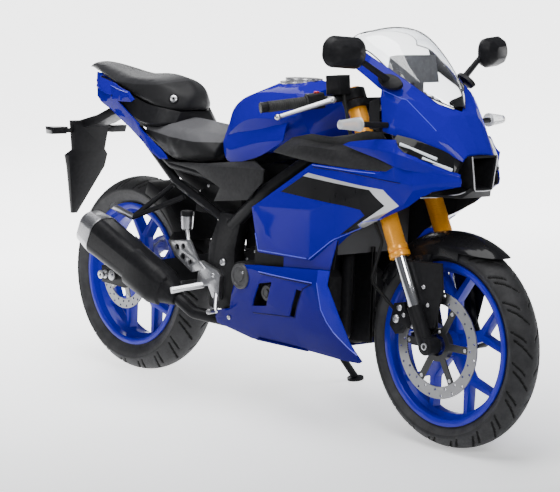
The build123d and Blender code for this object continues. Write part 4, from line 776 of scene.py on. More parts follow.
@dataclass
class PaintedPanel:
    """Painted shell with rounded edges, black inside, with printed decal areas and painted highlight areas
    outside.
    """

    node: str
    outward: Point = (0.0, 1.0, 0.0)
    finish: str = "blue_lacquer"
    inner: str = "black_satin_plastic"
    round_mm: float = 2.5
    # columns: finish of the decal or painted highlight, side-view outline
    decals_and_highlights: tuple[tuple[str, tuple[Pair, ...]], ...] = ()

    def build(self, shop: Shop) -> None:
        """Dress the panel."""
        piece = shop.copy_of(self.node, f"{self.node}_piece")
        settings = {"segments": 2, "limit_method": "ANGLE", "angle_limit": math.radians(30.0)}
        shop.modify(piece, "BEVEL", width=self.round_mm * MM, **settings)
        for _, outline in self.decals_and_highlights:
            self.score(piece, shop.space, outline)
        shop.smooth(piece, 32.0)
        shop.paint(piece, self.finish, self.inner, *[finish for finish, _ in self.decals_and_highlights])
        for face in piece.data.polygons:
            face.material_index = self.part_of(shop.space, face)
        shop.hang(piece, shop.bodies[self.node], shop.slots[self.node], self.node)

    def score(self, piece: bpy.types.Object, space: BikeSpace, outline: Sequence[Pair]) -> None:
        """Cut the panel's faces along the lines of an outline."""
        only(piece)
        bpy.ops.object.mode_set(mode="EDIT")
        for (x1, z1), (x2, z2) in zip(outline, [*outline[1:], outline[0]]):
            bpy.ops.mesh.select_all(action="SELECT")
            across = space.turn @ Vector((z1 - z2, 0.0, x2 - x1))
            bpy.ops.mesh.bisect(plane_co=space.at(x1, 0.0, z1), plane_no=across.normalized())
        bpy.ops.object.mode_set(mode="OBJECT")

    def part_of(self, space: BikeSpace, face: bpy.types.MeshPolygon) -> int:
        """Tell a face's material number: paint, inside, or one of the decal and painted highlight areas."""
        place = space.back(face.center)
        way = space.turn.transposed() @ face.normal
        outward = Vector((self.outward[0], math.copysign(self.outward[1], place.y), self.outward[2]))
        if way.dot(outward) < -0.12:
            return 1
        for number, (_, outline) in enumerate(self.decals_and_highlights):
            if inside((place.x, place.z), outline):
                return number + 2
        return 0


@dataclass
class Bodywork:
    """Fairing panels of the bike with their stripes, and a lighter blue on the lower cowl's front blade as a
    painted highlight.
    """

    band: tuple[Pair, ...] = (
        (870, 671), (967, 725), (1223, 710), (1257, 668), (1142, 585),
        (1112, 572), (1197, 636), (1186, 651), (1137, 657),
    )
    stripe: tuple[Pair, ...] = (
        (967, 725), (988, 736), (1267, 714), (1296, 671), (1142, 585), (1257, 668), (1223, 710),
    )

    # side-view outline of the lower cowl's front blade, painted a lighter blue as a painted highlight
    blade: tuple[Pair, ...] = (
        (1044, 470), (1046, 431), (1059, 356), (1103, 297),
        (1195, 235), (1260, 215), (1180, 330), (1120, 470),
    )

    def build(self, shop: Shop) -> None:
        """Dress every painted panel."""
        decals_and_highlights = (("silver_decal", self.stripe), ("black_decal", self.band))
        PaintedPanel("side_cowls", decals_and_highlights=decals_and_highlights).build(shop)
        PaintedPanel("lower_cowl", decals_and_highlights=(("blue_blade_painted_highlight", self.blade),)).build(shop)
        PaintedPanel("tail_cowl", (-0.6, 1.0, 0.6)).build(shop)
        PaintedPanel("upper_cowl", (0.45, 0.7, 0.55), round_mm=3.0).build(shop)
        PaintedPanel("front_fender", (0.0, 0.02, 1.0), "black_lacquer", round_mm=1.2).build(shop)


@dataclass
class PaddedSeat:
    """Seat whose cover is puffed out over its foam and parted into two colours."""

    TONE = "tone"

    node: str
    finish: str
    # columns: x along the bike, height of the seam
    seam: tuple[Pair, ...]
    voxel_mm: float = 5.0
    pressure: float = 4.0
    swell_mm: float = 7.0
    frames: int = 20

    def seam_at(self, x: float) -> float:
        """Give the seam's height at a place along the bike."""
        for (x1, z1), (x2, z2) in zip(self.seam, self.seam[1:]):
            if x <= x2:
                return z1 + (z2 - z1) * max(x - x1, 0.0) / (x2 - x1)
        return self.seam[-1][1]

    def build(self, shop: Shop) -> None:
        """Puff out the seat and colour it."""
        piece = shop.copy_of(self.node, f"{self.node}_piece")
        shop.modify(piece, "REMESH", mode="VOXEL", voxel_size=self.voxel_mm * MM)
        shop.modify(piece, "SMOOTH", factor=0.5, iterations=6)
        self.puff(piece)
        shop.modify(piece, "SMOOTH", factor=0.5, iterations=16)
        shop.modify(piece, "SUBSURF", levels=1, render_levels=1)
        shop.smooth(piece, 60.0)
        tone = piece.data.attributes.new(self.TONE, "FLOAT", "POINT")
        for vertex, kept in zip(piece.data.vertices, tone.data):
            place = shop.space.back(vertex.co)
            kept.value = 0.5 + (place.z - self.seam_at(place.x)) / 100.0
        shop.paint(piece, self.finish)
        shop.hang(piece, Body.CHASSIS, "seat_vinyl", self.node)

    def puff(self, piece: bpy.types.Object) -> None:
        """Blow the cover out with cloth and hold every point near its foam."""
        rest = [vertex.co.copy() for vertex in piece.data.vertices]
        only(piece)
        cloth = piece.modifiers.new("Cover", "CLOTH")
        cloth.settings.use_pressure = True
        cloth.settings.uniform_pressure_force = self.pressure
        cloth.settings.effector_weights.gravity = 0.0
        cloth.point_cache.frame_end = self.frames
        for frame in range(1, self.frames + 1):
            bpy.context.scene.frame_set(frame)
        bpy.ops.object.modifier_apply(modifier=cloth.name)
        bpy.context.scene.frame_set(1)
        for vertex, was in zip(piece.data.vertices, rest):
            step = vertex.co - was
            if step.length > self.swell_mm * MM:
                vertex.co = was + step.normalized() * self.swell_mm * MM


@dataclass
class Brake:
    """Drilled disc on a dark carrier with bright bobbins."""

    node: str
    body: Body
    axle: Pair
    y: float
    ring_inner: float
    bobbins: int
    carrier: Point = (0.012, 0.012, 0.013)
    bobbin_inset: float = 9.0

    def build(self, shop: Shop) -> None:
        """Dress the disc and add its bobbins."""
        piece = shop.copy_of(self.node, f"{self.node}_piece")
        shop.bevel(piece, 0.4, 40.0, 1)
        shop.smooth(piece, 30.0)
        axle = tuple(shop.space.at(self.axle[0], 0.0, self.axle[1]))
        axis = tuple(shop.space.turn @ Vector((0.0, 1.0, 0.0)))
        piece.data.materials.clear()
        metal = CarrierDisc(f"{self.node}_metal", axle, axis, self.ring_inner, self.carrier)
        piece.data.materials.append(metal.make())
        shop.hang(piece, self.body, "steel", self.node)
        stock = Stock(shop.space)
        for number in range(self.bobbins):
            turn = 2 * math.pi * number / self.bobbins
            reach = self.ring_inner - self.bobbin_inset
            out_x, out_z = reach * math.cos(turn), reach * math.sin(turn)
            centre = Vector((self.axle[0] + out_x, self.y + 3.6, self.axle[1] + out_z))
            profile = ((0.0, 5.5), (7.0, 5.5), (7.6, 4.8), (7.6, 2.6), (6.4, 2.4))
            stock.lathe(centre, Vector((0.0, -1.0, 0.0)), profile, 16)
        shop.hang(stock.piece(shop, f"{self.node}_bobbins", "bolt_zinc"), self.body, "steel")


@dataclass
class FrontLamps:
    """Slim lamps with light bars in dark recesses."""

    # columns: rear end and front end of each light bar on the right
    bars: tuple[tuple[Point, Point], ...] = (
        ((1312, -181, 844), (1400, -116, 805)),
        ((1366, -148, 809), (1432, -88, 777)),
    )
    bar_radius: float = 4.6

    def build(self, shop: Shop) -> None:
        """Dress the lamps and add their light bars."""
        shop.soften("headlamps", "black_lacquer", 1.0)
        stock = Stock(shop.space)
        for start, end in self.bars:
            for way in (1.0, -1.0):
                base = Vector((start[0], way * start[1], start[2]))
                run = Vector((end[0], way * end[1], end[2])) - base
                wide = self.bar_radius
                profile = ((0.0, 1.0), (4.0, wide), (run.length - 4.0, wide), (run.length, 1.0))
                stock.lathe(base, run, profile, 14)
        shop.hang(stock.piece(shop, "light_bars", "led_bar"), Body.CHASSIS, "clear_lens")


@dataclass
class Windscreen:
    """One clear curved sheet with a dark edge line."""

    # columns: x along the bike, height in the middle, half width, height at the side
    sections: tuple[tuple[float, float, float, float], ...] = (
        (1060, 1140, 132, 1098),
        (1130, 1148, 126, 1082),
        (1220, 1090, 112, 1024),
        (1300, 1015, 78, 976),
        (1362, 944, 20, 940),
    )
    thick_mm: float = 3.0
    across: int = 24
    along: int = 28

    def section_at(self, share: float) -> tuple[float, ...]:
        """Give the section at a share of the way from rear to front, on a smooth curve."""
        place = share * (len(self.sections) - 1)
        i = min(int(place), len(self.sections) - 2)
        t = place - i
        rows = [self.sections[min(max(k, 0), len(self.sections) - 1)] for k in (i - 1, i, i + 1, i + 2)]
        return tuple(
            0.5 * (2 * b + (c - a) * t + (2 * a - 5 * b + 4 * c - d) * t**2 + (3 * b - a - 3 * c + d) * t**3)
            for a, b, c, d in zip(*rows)
        )

    def build(self, shop: Shop) -> None:
        """Make the sheet and its edge line."""
        grid = []
        for i in range(self.along + 1):
            x, top, half, low = self.section_at(i / self.along)
            row = []
            for k in range(self.across + 1):
                turn = (k / self.across - 0.5) * math.pi
                rise = math.cos(turn) ** 0.8 if abs(turn) < 1.5707 else 0.0
                row.append(Vector((x, half * math.sin(turn), low + (top - low) * rise)))
            grid.append(row)
        wide = self.across + 1
        faces = [
            (i * wide + k, i * wide + k + 1, (i + 1) * wide + k + 1, (i + 1) * wide + k)
            for i in range(self.along)
            for k in range(self.across)
        ]
        sheet = shop.shape("windscreen_piece", [shop.space.at(*p) for row in grid for p in row], faces)
        shop.modify(sheet, "SOLIDIFY", thickness=self.thick_mm * MM, offset=1.0)
        shop.smooth(sheet, 60.0)
        shop.paint(sheet, "clear_screen")
        shop.hang(sheet, Body.CHASSIS, "screen", "windscreen")
        edge = Stock(shop.space)
        rim = [row[0] for row in reversed(grid)] + grid[0] + [row[-1] for row in grid]
        edge.sweep([p + Vector((0.0, 0.0, -1.0)) for p in rim], 2.0, 8)
        shop.hang(edge.piece(shop, "windscreen_edge", "dark_grey_plastic"), Body.CHASSIS, "screen")


@dataclass
class HandControls:
    """Levers, switch gear, reservoir, ribbed grips and the red switch."""

    bar_root: Point = (1044.4, 98.0, 952.7)
    bar_reach: Point = (-106.0, 254.0, -35.0)
    grip_span: Pair = (139.4, 255.4)
    grip_radius: float = 16.0
    rib_count: int = 19
    lever_size_mm: float = 120.0
    switch_at: Pair = (112.0, 24.0)

    def build(self, shop: Shop) -> None:
        """Dress the hand controls."""
        piece = shop.copy_of("bar_controls", "bar_controls_piece")
        shop.bevel(piece, 1.6, 35.0)
        shop.smooth(piece)
        shop.paint(piece, "black_satin_plastic", "satin_silver")
        self.brighten(shop, piece)
        shop.hang(piece, Body.FORK, "black_plastic", "bar_controls")
        stock = Stock(shop.space)
        switch = Stock(shop.space)
        start, end = self.grip_span
        pitch = (end - start) / self.rib_count
        profile = [(start, 11.6), (start, self.grip_radius + 2.0), (start + 5.0, self.grip_radius + 2.0)]
        for rib in range(1, self.rib_count):
            along = start + pitch * rib
            profile.append((along, self.grip_radius - 1.2))
            profile += [(along + pitch * share, self.grip_radius) for share in (0.3, 0.7)]
        profile += [(end, self.grip_radius - 0.4), (end, 11.6)]
        for way in (-1, 1):
            root = Vector((self.bar_root[0], way * self.bar_root[1], self.bar_root[2]))
            reach = Vector((self.bar_reach[0], way * self.bar_reach[1], self.bar_reach[2]))
            stock.lathe(root, reach, profile, 28)
        shop.hang(stock.piece(shop, "grips_piece", "grip_rubber"), Body.FORK, "rubber", "grips")
        root = Vector((self.bar_root[0], -self.bar_root[1], self.bar_root[2]))
        reach = Vector((self.bar_reach[0], -self.bar_reach[1], self.bar_reach[2])).normalized()
        base = root + reach * self.switch_at[0] + Vector((0.0, 0.0, self.switch_at[1] - 6.0))
        switch.lathe(base, Vector((-0.1, 0.0, 1.0)), ((0.0, 8.0), (7.0, 8.0), (9.0, 6.0)), 18)
        shop.hang(switch.piece(shop, "stop_switch", "red_switch"), Body.FORK, "black_plastic")

    def brighten(self, shop: Shop, piece: bpy.types.Object) -> None:
        """Give the levers bright metal, told from the other solids by their length."""
        links: dict[int, set[int]] = {}
        for edge in piece.data.edges:
            a, b = edge.vertices
            links.setdefault(a, set()).add(b)
            links.setdefault(b, set()).add(a)
        seen: set[int] = set()
        bright: set[int] = set()
        for first in links:
            if first in seen:
                continue
            island, queue = {first}, [first]
            while queue:
                for other in links[queue.pop()] - island:
                    island.add(other)
                    queue.append(other)
            seen |= island
            places = [shop.space.back(piece.data.vertices[i].co) for i in island]
            span = max(p.y for p in places) - min(p.y for p in places)
            if span > self.lever_size_mm:
                bright |= island
        for face in piece.data.polygons:
            face.material_index = 1 if face.vertices[0] in bright else 0


@dataclass
class FacedPart:
    """Hard part with a second finish on the faces that look one way."""

    node: str
    finish: str
    faced: str
    look: Point
    round_mm: float = 2.0
    least: float = 0.8
    where: Pair = (-1.0e9, 1.0e9)

    def build(self, shop: Shop) -> None:
        """Dress the part."""
        piece = shop.copy_of(self.node, f"{self.node}_piece")
        shop.bevel(piece, self.round_mm, 32.0)
        shop.smooth(piece)
        shop.paint(piece, self.finish, self.faced)
        look = Vector(self.look).normalized() if any(self.look) else None
        for face in piece.data.polygons:
            way = shop.space.turn.transposed() @ face.normal
            place = shop.space.back(face.center)
            faces = look is None or way.dot(look) > self.least
            face.material_index = 1 if faces and self.where[0] < place.x < self.where[1] else 0
        shop.hang(piece, shop.bodies[self.node], shop.slots[self.node], self.node)


@dataclass
class RoadTyre:
    """Road tyre with a crowned tread, diagonal sunk channels with painted shade in them, and ribbed sidewalls.
    """

    node: str
    body: Body
    axle: Pair
    radius: float
    width: float
    bead: float
    drop: float
    bead_radius: float = 216.4
    steps: int = 720
    pitch_count: int = 20
    groove_depth: float = 5.0

    def crown(self, across: float) -> float:
        """Give the tread's radius at a place across the tyre."""
        half = self.width / 2
        arc = (half**2 + self.drop**2) / (2 * self.drop)
        return self.radius - arc + math.sqrt(max(arc**2 - across**2, 0.0))

    def section(self) -> list[Pair]:
        """Give the closed section as (across, radius) from the right bead over the tread to the left bead."""
        half, shoulder = self.width / 2, self.radius - self.drop
        side = [(self.bead, self.bead_radius), (self.bead, self.bead_radius + 15.0)]
        wall = 9
        for i in range(1, wall):
            t = i / wall
            bulge = math.sin(math.pi * t) * 5.0
            rib = 0.7 if i in (2, 6) else 0.0
            low = self.bead_radius + 15.0
            side.append((self.bead + (half - self.bead) * t + bulge * 0.6 + rib, low + (shoulder - low) * t))
        tread = [(half * (1 - 2 * i / 44), self.crown(half * (1 - 2 * i / 44))) for i in range(45)]
        right = [(-y, r) for y, r in side]
        return right + [(-y, r) for y, r in tread] + [(y, r) for y, r in reversed(side)]

    def groove(self, across: float, turn: float) -> float:
        """Give the groove's depth at a place on the tread.

        Args:
            across: Millimetres from the tyre's middle.
            turn: Angle round the tyre in radians.

        Returns:
            Depth in millimetres.
        """
        reach = abs(across) / (self.width / 2)
        pitch = 2 * math.pi / self.pitch_count
        depth = 0.0
        # columns: start and end across, phase, sweep, half width in millimetres
        for start, end, phase, sweep, wide in ((0.08, 0.92, 0.0, 0.62, 3.2), (0.4, 0.98, 0.5, 0.4, 3.0)):
            if not start < reach < end:
                continue
            lead = phase + (0.5 if across > 0 else 0.0) + sweep * (reach - start) / (end - start)
            off = ((turn / pitch - lead + 0.5) % 1.0 - 0.5) * pitch * self.radius
            fade = min((reach - start) / 0.06, (end - reach) / 0.06, 1.0)
            depth = max(depth, self.groove_depth * fade * max(0.0, min(1.0, (wide + 1.2 - abs(off)) / 1.2)))
        return depth

    def build(self, shop: Shop) -> bpy.types.Object:
        """Make the tyre and let it ride on its wheel."""
        section = self.section()
        tread_from = self.radius - self.drop - 0.5
        points, faces = [], []
        for step in range(self.steps):
            turn = 2 * math.pi * step / self.steps
            for y, r in section:
                sunk = r - self.groove(y, turn) if r > tread_from else r
                out_x, out_z = sunk * math.cos(turn), sunk * math.sin(turn)
                points.append(shop.space.at(self.axle[0] + out_x, y, self.axle[1] + out_z))
        count = len(section)
        for step in range(self.steps):
            here, there = step * count, (step + 1) % self.steps * count
            for i in range(count):
                j = (i + 1) % count
                faces.append((here + i, here + j, there + j, there + i))
        piece = shop.shape(f"{self.node}_piece", points, faces)
        shop.face_out(piece)
        shop.smooth(piece, 50.0)
        shop.paint(piece, "tyre_rubber", "sidewall_rubber", "groove_painted_shade_rubber")
        for face in piece.data.polygons:
            along = shop.space.back(face.center)
            radius = math.hypot(along.x - self.axle[0], along.z - self.axle[1])
            turn = math.atan2(along.z - self.axle[1], along.x - self.axle[0])
            # painted shade: faces deep in a groove get the near-black rubber
            sunk = self.groove(along.y, turn) > self.groove_depth * 0.4
            face.material_index = 1 if radius < tread_from - self.groove_depth else 2 if sunk else 0
        shop.hang(piece, self.body, "tyre", self.node)
        return piece


@dataclass
class ZonedPart:
    """Hard part whose finish changes in boxes of the upright bike."""

    node: str
    finish: str
    # columns: finish, lowest and highest corner, with y as the distance from the middle
    zones: tuple[tuple[str, Point, Point], ...] = ()
    round_mm: float = 1.5
    # places along the bike where the part's faces are cut, so that a zone can end there
    cuts: tuple[float, ...] = ()
    # least share of a face's direction that has to look sideways to lie in a zone
    sideways: float = 0.0

    def build(self, shop: Shop) -> None:
        """Dress the part."""
        piece = shop.copy_of(self.node, f"{self.node}_piece")
        shop.bevel(piece, self.round_mm, 32.0)
        only(piece)
        bpy.ops.object.mode_set(mode="EDIT")
        for x in self.cuts:
            bpy.ops.mesh.select_all(action="SELECT")
            bpy.ops.mesh.bisect(plane_co=shop.space.at(x, 0.0, 0.0), plane_no=(1.0, 0.0, 0.0))
        bpy.ops.object.mode_set(mode="OBJECT")
        shop.smooth(piece)
        shop.paint(piece, self.finish, *[finish for finish, _, _ in self.zones])
        for face in piece.data.polygons:
            place = shop.space.back(face.center)
            place.y = abs(place.y)
            side = abs((shop.space.turn.transposed() @ face.normal).y)
            for number, (_, low, high) in enumerate(self.zones):
                within = all(least <= value <= most for least, value, most in zip(low, place, high))
                if within and side >= self.sideways:
                    face.material_index = number + 1
        shop.hang(piece, shop.bodies[self.node], shop.slots[self.node], self.node)


@dataclass
class InnerGuards:
    """Thin black plates behind the bodywork that close the view through the bike, standing for its dark inner
    parts and, as painted shade, the shade among them.
    """

    # columns: distance from the middle, side-view outline
    plates: tuple[tuple[float, tuple[Pair, ...]], ...] = (
        (92.0, ((360, 556), (575, 556), (575, 645), (420, 645), (366, 610))),
        (92.0, ((525, 728), (672, 728), (840, 762), (840, 806), (672, 770), (525, 764))),
        (92.0, ((600, 470), (705, 470), (705, 582), (600, 582))),
        (4.0, ((930, 240), (1050, 240), (1050, 520), (930, 520))),
        (188.0, (
            (750, 440), (1000, 452), (1085, 470), (1100, 556), (1046, 512), (998, 488), (790, 488), (752, 520),
        )),
    )
    # corners of the panel behind the nose on the right
    nose: tuple[Point, ...] = ((1175, -160, 946), (1218, -165, 963), (1245, -186, 873), (1199, -180, 875))
    # side-view outline of the painted corner below the side cowl
    corner: tuple[Pair, ...] = (
        (885, 446), (1000, 458), (1078, 470), (1106, 562), (1080, 548), (1000, 488), (885, 488),
    )
    corner_y: float = 196.0
    thick_mm: float = 3.0

    def build(self, shop: Shop) -> None:
        """Make the plates of both sides."""
        dark, paint = Stock(shop.space), Stock(shop.space)
        for way in (-1.0, 1.0):
            for away, outline in self.plates:
                self.plate(dark, [Vector((x, way * away, z)) for x, z in outline], way)
            self.plate(dark, [Vector((x, -way * y, z)) for x, y, z in self.nose], way)
            self.plate(paint, [Vector((x, way * self.corner_y, z)) for x, z in self.corner], way)
        for stock, name, finish, slot in (
            (dark, "inner_guards", "black_satin_plastic", "black_plastic"),
            (paint, "cowl_corners", "blue_lacquer", "blue_plastic"),
        ):
            piece = stock.piece(shop, name, finish)
            shop.bevel(piece, 0.8, 40.0)
            shop.smooth(piece)
            shop.hang(piece, Body.CHASSIS, slot)

    def plate(self, stock: Stock, outline: Sequence[Vector], way: float) -> None:
        """Add one plate that grows outwards from its outline."""
        out = Vector((0.0, way * self.thick_mm, 0.0))
        stock.rings([outline, [point + out for point in outline]])


@dataclass
class TankSkirt:
    """Lower flanks of the tank, drawn down over its mounts."""

    # columns: x, top height, lower edge's distance from the middle, lower edge's height
    stations: tuple[tuple[float, float, float, float], ...] = (
        (506, 800, 112, 772), (536, 812, 134, 738), (580, 818, 145, 721), (640, 826, 152, 736),
        (712, 836, 158, 753), (760, 846, 166, 772), (798, 856, 172, 790), (840, 866, 172, 812),
    )
    rows: int = 8
    bulge_mm: float = 5.0
    thick_mm: float = 3.0

    def build(self, shop: Shop) -> None:
        """Loft the flanks from the tank's skin."""
        tank = bpy.data.objects["fuel_tank_piece"]
        points, faces = [], []
        for way in (-1.0, 1.0):
            start = len(points)
            for x, top, away, low in self.stations:
                skin = shop.touch(x, way, top, tank)
                upper = skin[0] if skin else Vector((x, way * away, top))
                for row in range(self.rows + 1):
                    share = row / self.rows
                    place = upper.lerp(Vector((x, way * away, low)), share)
                    place.y += way * (self.bulge_mm * math.sin(math.pi * share) - 2.0 * (1.0 - share))
                    points.append(shop.space.at(*place))
            deep = self.rows + 1
            for i in range(len(self.stations) - 1):
                for k in range(self.rows):
                    here = start + i * deep + k
                    faces.append((here, here + 1, here + deep + 1, here + deep))
        piece = shop.shape("tank_flanks", points, faces)
        shop.face_out(piece)
        shop.modify(piece, "SUBSURF", levels=1, render_levels=1)
        shop.modify(piece, "SOLIDIFY", thickness=self.thick_mm * MM, offset=0.0)
        shop.smooth(piece, 50.0)
        shop.paint(piece, "blue_lacquer")
        shop.hang(piece, Body.CHASSIS, "blue_metal")


@dataclass
class CreaseLines:
    """Fine bright lines where the faces of a panel meet, as painted highlights, and fine dark lines below edges,
    as painted shadows.
    """

    # columns: node, side-view path of a bright painted highlight line
    lines: tuple[tuple[str, tuple[Pair, ...]], ...] = (
        ("side_cowls", ((1003, 760), (1153, 757), (1250, 758))),
        ("side_cowls", ((1000, 492), (1081, 551), (1142, 586), (1188, 617), (1222, 628))),
        ("side_cowls", ((742, 606), (780, 492), (990, 493))),
        ("lower_cowl", ((793, 431), (900, 430), (1027, 429))),
        ("upper_cowl", ((1217, 982), (1290, 959), (1330, 921), (1372, 880))),
        ("tail_cowl", ((-204, 922), (-80, 912), (47, 900))),
        ("lower_cowl", (
            (1046, 431), (1052, 394), (1059, 356), (1078, 324), (1103, 297), (1150, 262), (1190, 238),
        )),
    )
    # columns: node, side-view path of a dark line that is a painted shadow below an edge
    shadows: tuple[tuple[str, tuple[Pair, ...]], ...] = (
        ("lower_cowl", ((1027, 425), (989, 407), (966, 363), (948, 318), (850, 311), (752, 303))),
        ("lower_cowl", ((800, 426), (900, 425), (1020, 424))),
        ("side_cowls", ((1008, 753), (1119, 753), (1235, 746), (1325, 737))),
    )
    radius: float = 1.5
    step_mm: float = 10.0

    def build(self, shop: Shop) -> None:
        """Lay the lines on the panels."""
        # bright lines are painted highlights along each crease; dark lines are painted shadows below an edge
        kinds = ((self.lines, "blue_painted_highlight", "creases"), (self.shadows, "blue_shadow", "painted_shadow_lines"))
        for lines, finish, kind in kinds:
            for node in dict.fromkeys(node for node, _ in lines):
                stock = Stock(shop.space)
                for path in (path for name, path in lines if name == node):
                    self.lay(shop, stock, bpy.data.objects[f"{node}_piece"], path)
                shop.hang(stock.piece(shop, f"{node}_{kind}", finish), shop.bodies[node], shop.slots[node])

    def lay(self, shop: Shop, stock: Stock, panel: bpy.types.Object, path: Sequence[Pair]) -> None:
        """Run one line over both sides of a panel."""
        for way in (-1.0, 1.0):
            met = [shop.touch(x, way, z, panel) for x, z in self.walk(path)]
            places = [found[0] for found in met if found and abs(found[0].y) > 60.0]
            if len(places) > 2:
                stock.sweep(places, self.radius, 8)

    def walk(self, path: Sequence[Pair]) -> list[Pair]:
        """Give even steps along a flat path."""
        steps = []
        for (x1, z1), (x2, z2) in zip(path, path[1:]):
            count = max(1, round(math.hypot(x2 - x1, z2 - z1) / self.step_mm))
            steps += [(x1 + (x2 - x1) * i / count, z1 + (z2 - z1) * i / count) for i in range(count)]
        return [*steps, path[-1]]


@dataclass
class Bolts:
    """Button-head bolts on the outer faces."""

    # columns: x, z, head radius
    chassis: tuple[Point, ...] = (
        (563, 426, 11), (534, 384, 7), (546, 322, 7), (487, 349, 9), (622, 269, 7), (705, 575, 5), (420, 640, 5),
    )
    fork: tuple[Point, ...] = (
        (1252, 350, 12), (1264, 382, 9), (1318, 338, 6), (1282, 364, 6),
        (1340, 449, 6), (1358, 401, 6), (1380, 292, 15), (1388, 330, 5),
    )
    # small bolts round the clutch cover
    ring_centre: Pair = (668.0, 418.0)
    ring_radius: float = 50.0
    ring_count: int = 7
    ring_head: float = 4.5
    # columns: height and radius as shares of the head radius, below zero the root's depth in mm
    head: tuple[Pair, ...] = ((-2.0, 1.0), (0.35, 1.0), (0.6, 0.8), (0.68, 0.5), (0.3, 0.42))
    # least share of the skin's normal that points sideways
    facing: float = 0.8

    def build(self, shop: Shop) -> None:
        """Set every bolt on the skin that it meets."""
        turns = [2 * math.pi * i / self.ring_count for i in range(self.ring_count)]
        mid_x, mid_z = self.ring_centre
        reach = self.ring_radius
        ring = [(mid_x + reach * math.cos(a), mid_z + reach * math.sin(a), self.ring_head) for a in turns]
        # every place is found before the first bolt is there to be met
        found = {
            body: [(radius, shop.touch(x, way, z)) for x, z, radius in places for way in (-1.0, 1.0)]
            for body, places in ((Body.CHASSIS, [*self.chassis, *ring]), (Body.FORK, self.fork))
        }
        for body, heads in found.items():
            stock = Stock(shop.space)
            for radius, met in heads:
                if met and abs(met[1].y) > self.facing:
                    stock.lathe(met[0], met[1], self.profile(radius), 18)
            shop.hang(stock.piece(shop, f"{body.value}_bolts", "bolt_zinc"), body, "steel")

    def profile(self, radius: float) -> list[Pair]:
        """Scale the head's profile to a radius."""
        return [(along if along < 0 else along * radius, share * radius) for along, share in self.head]


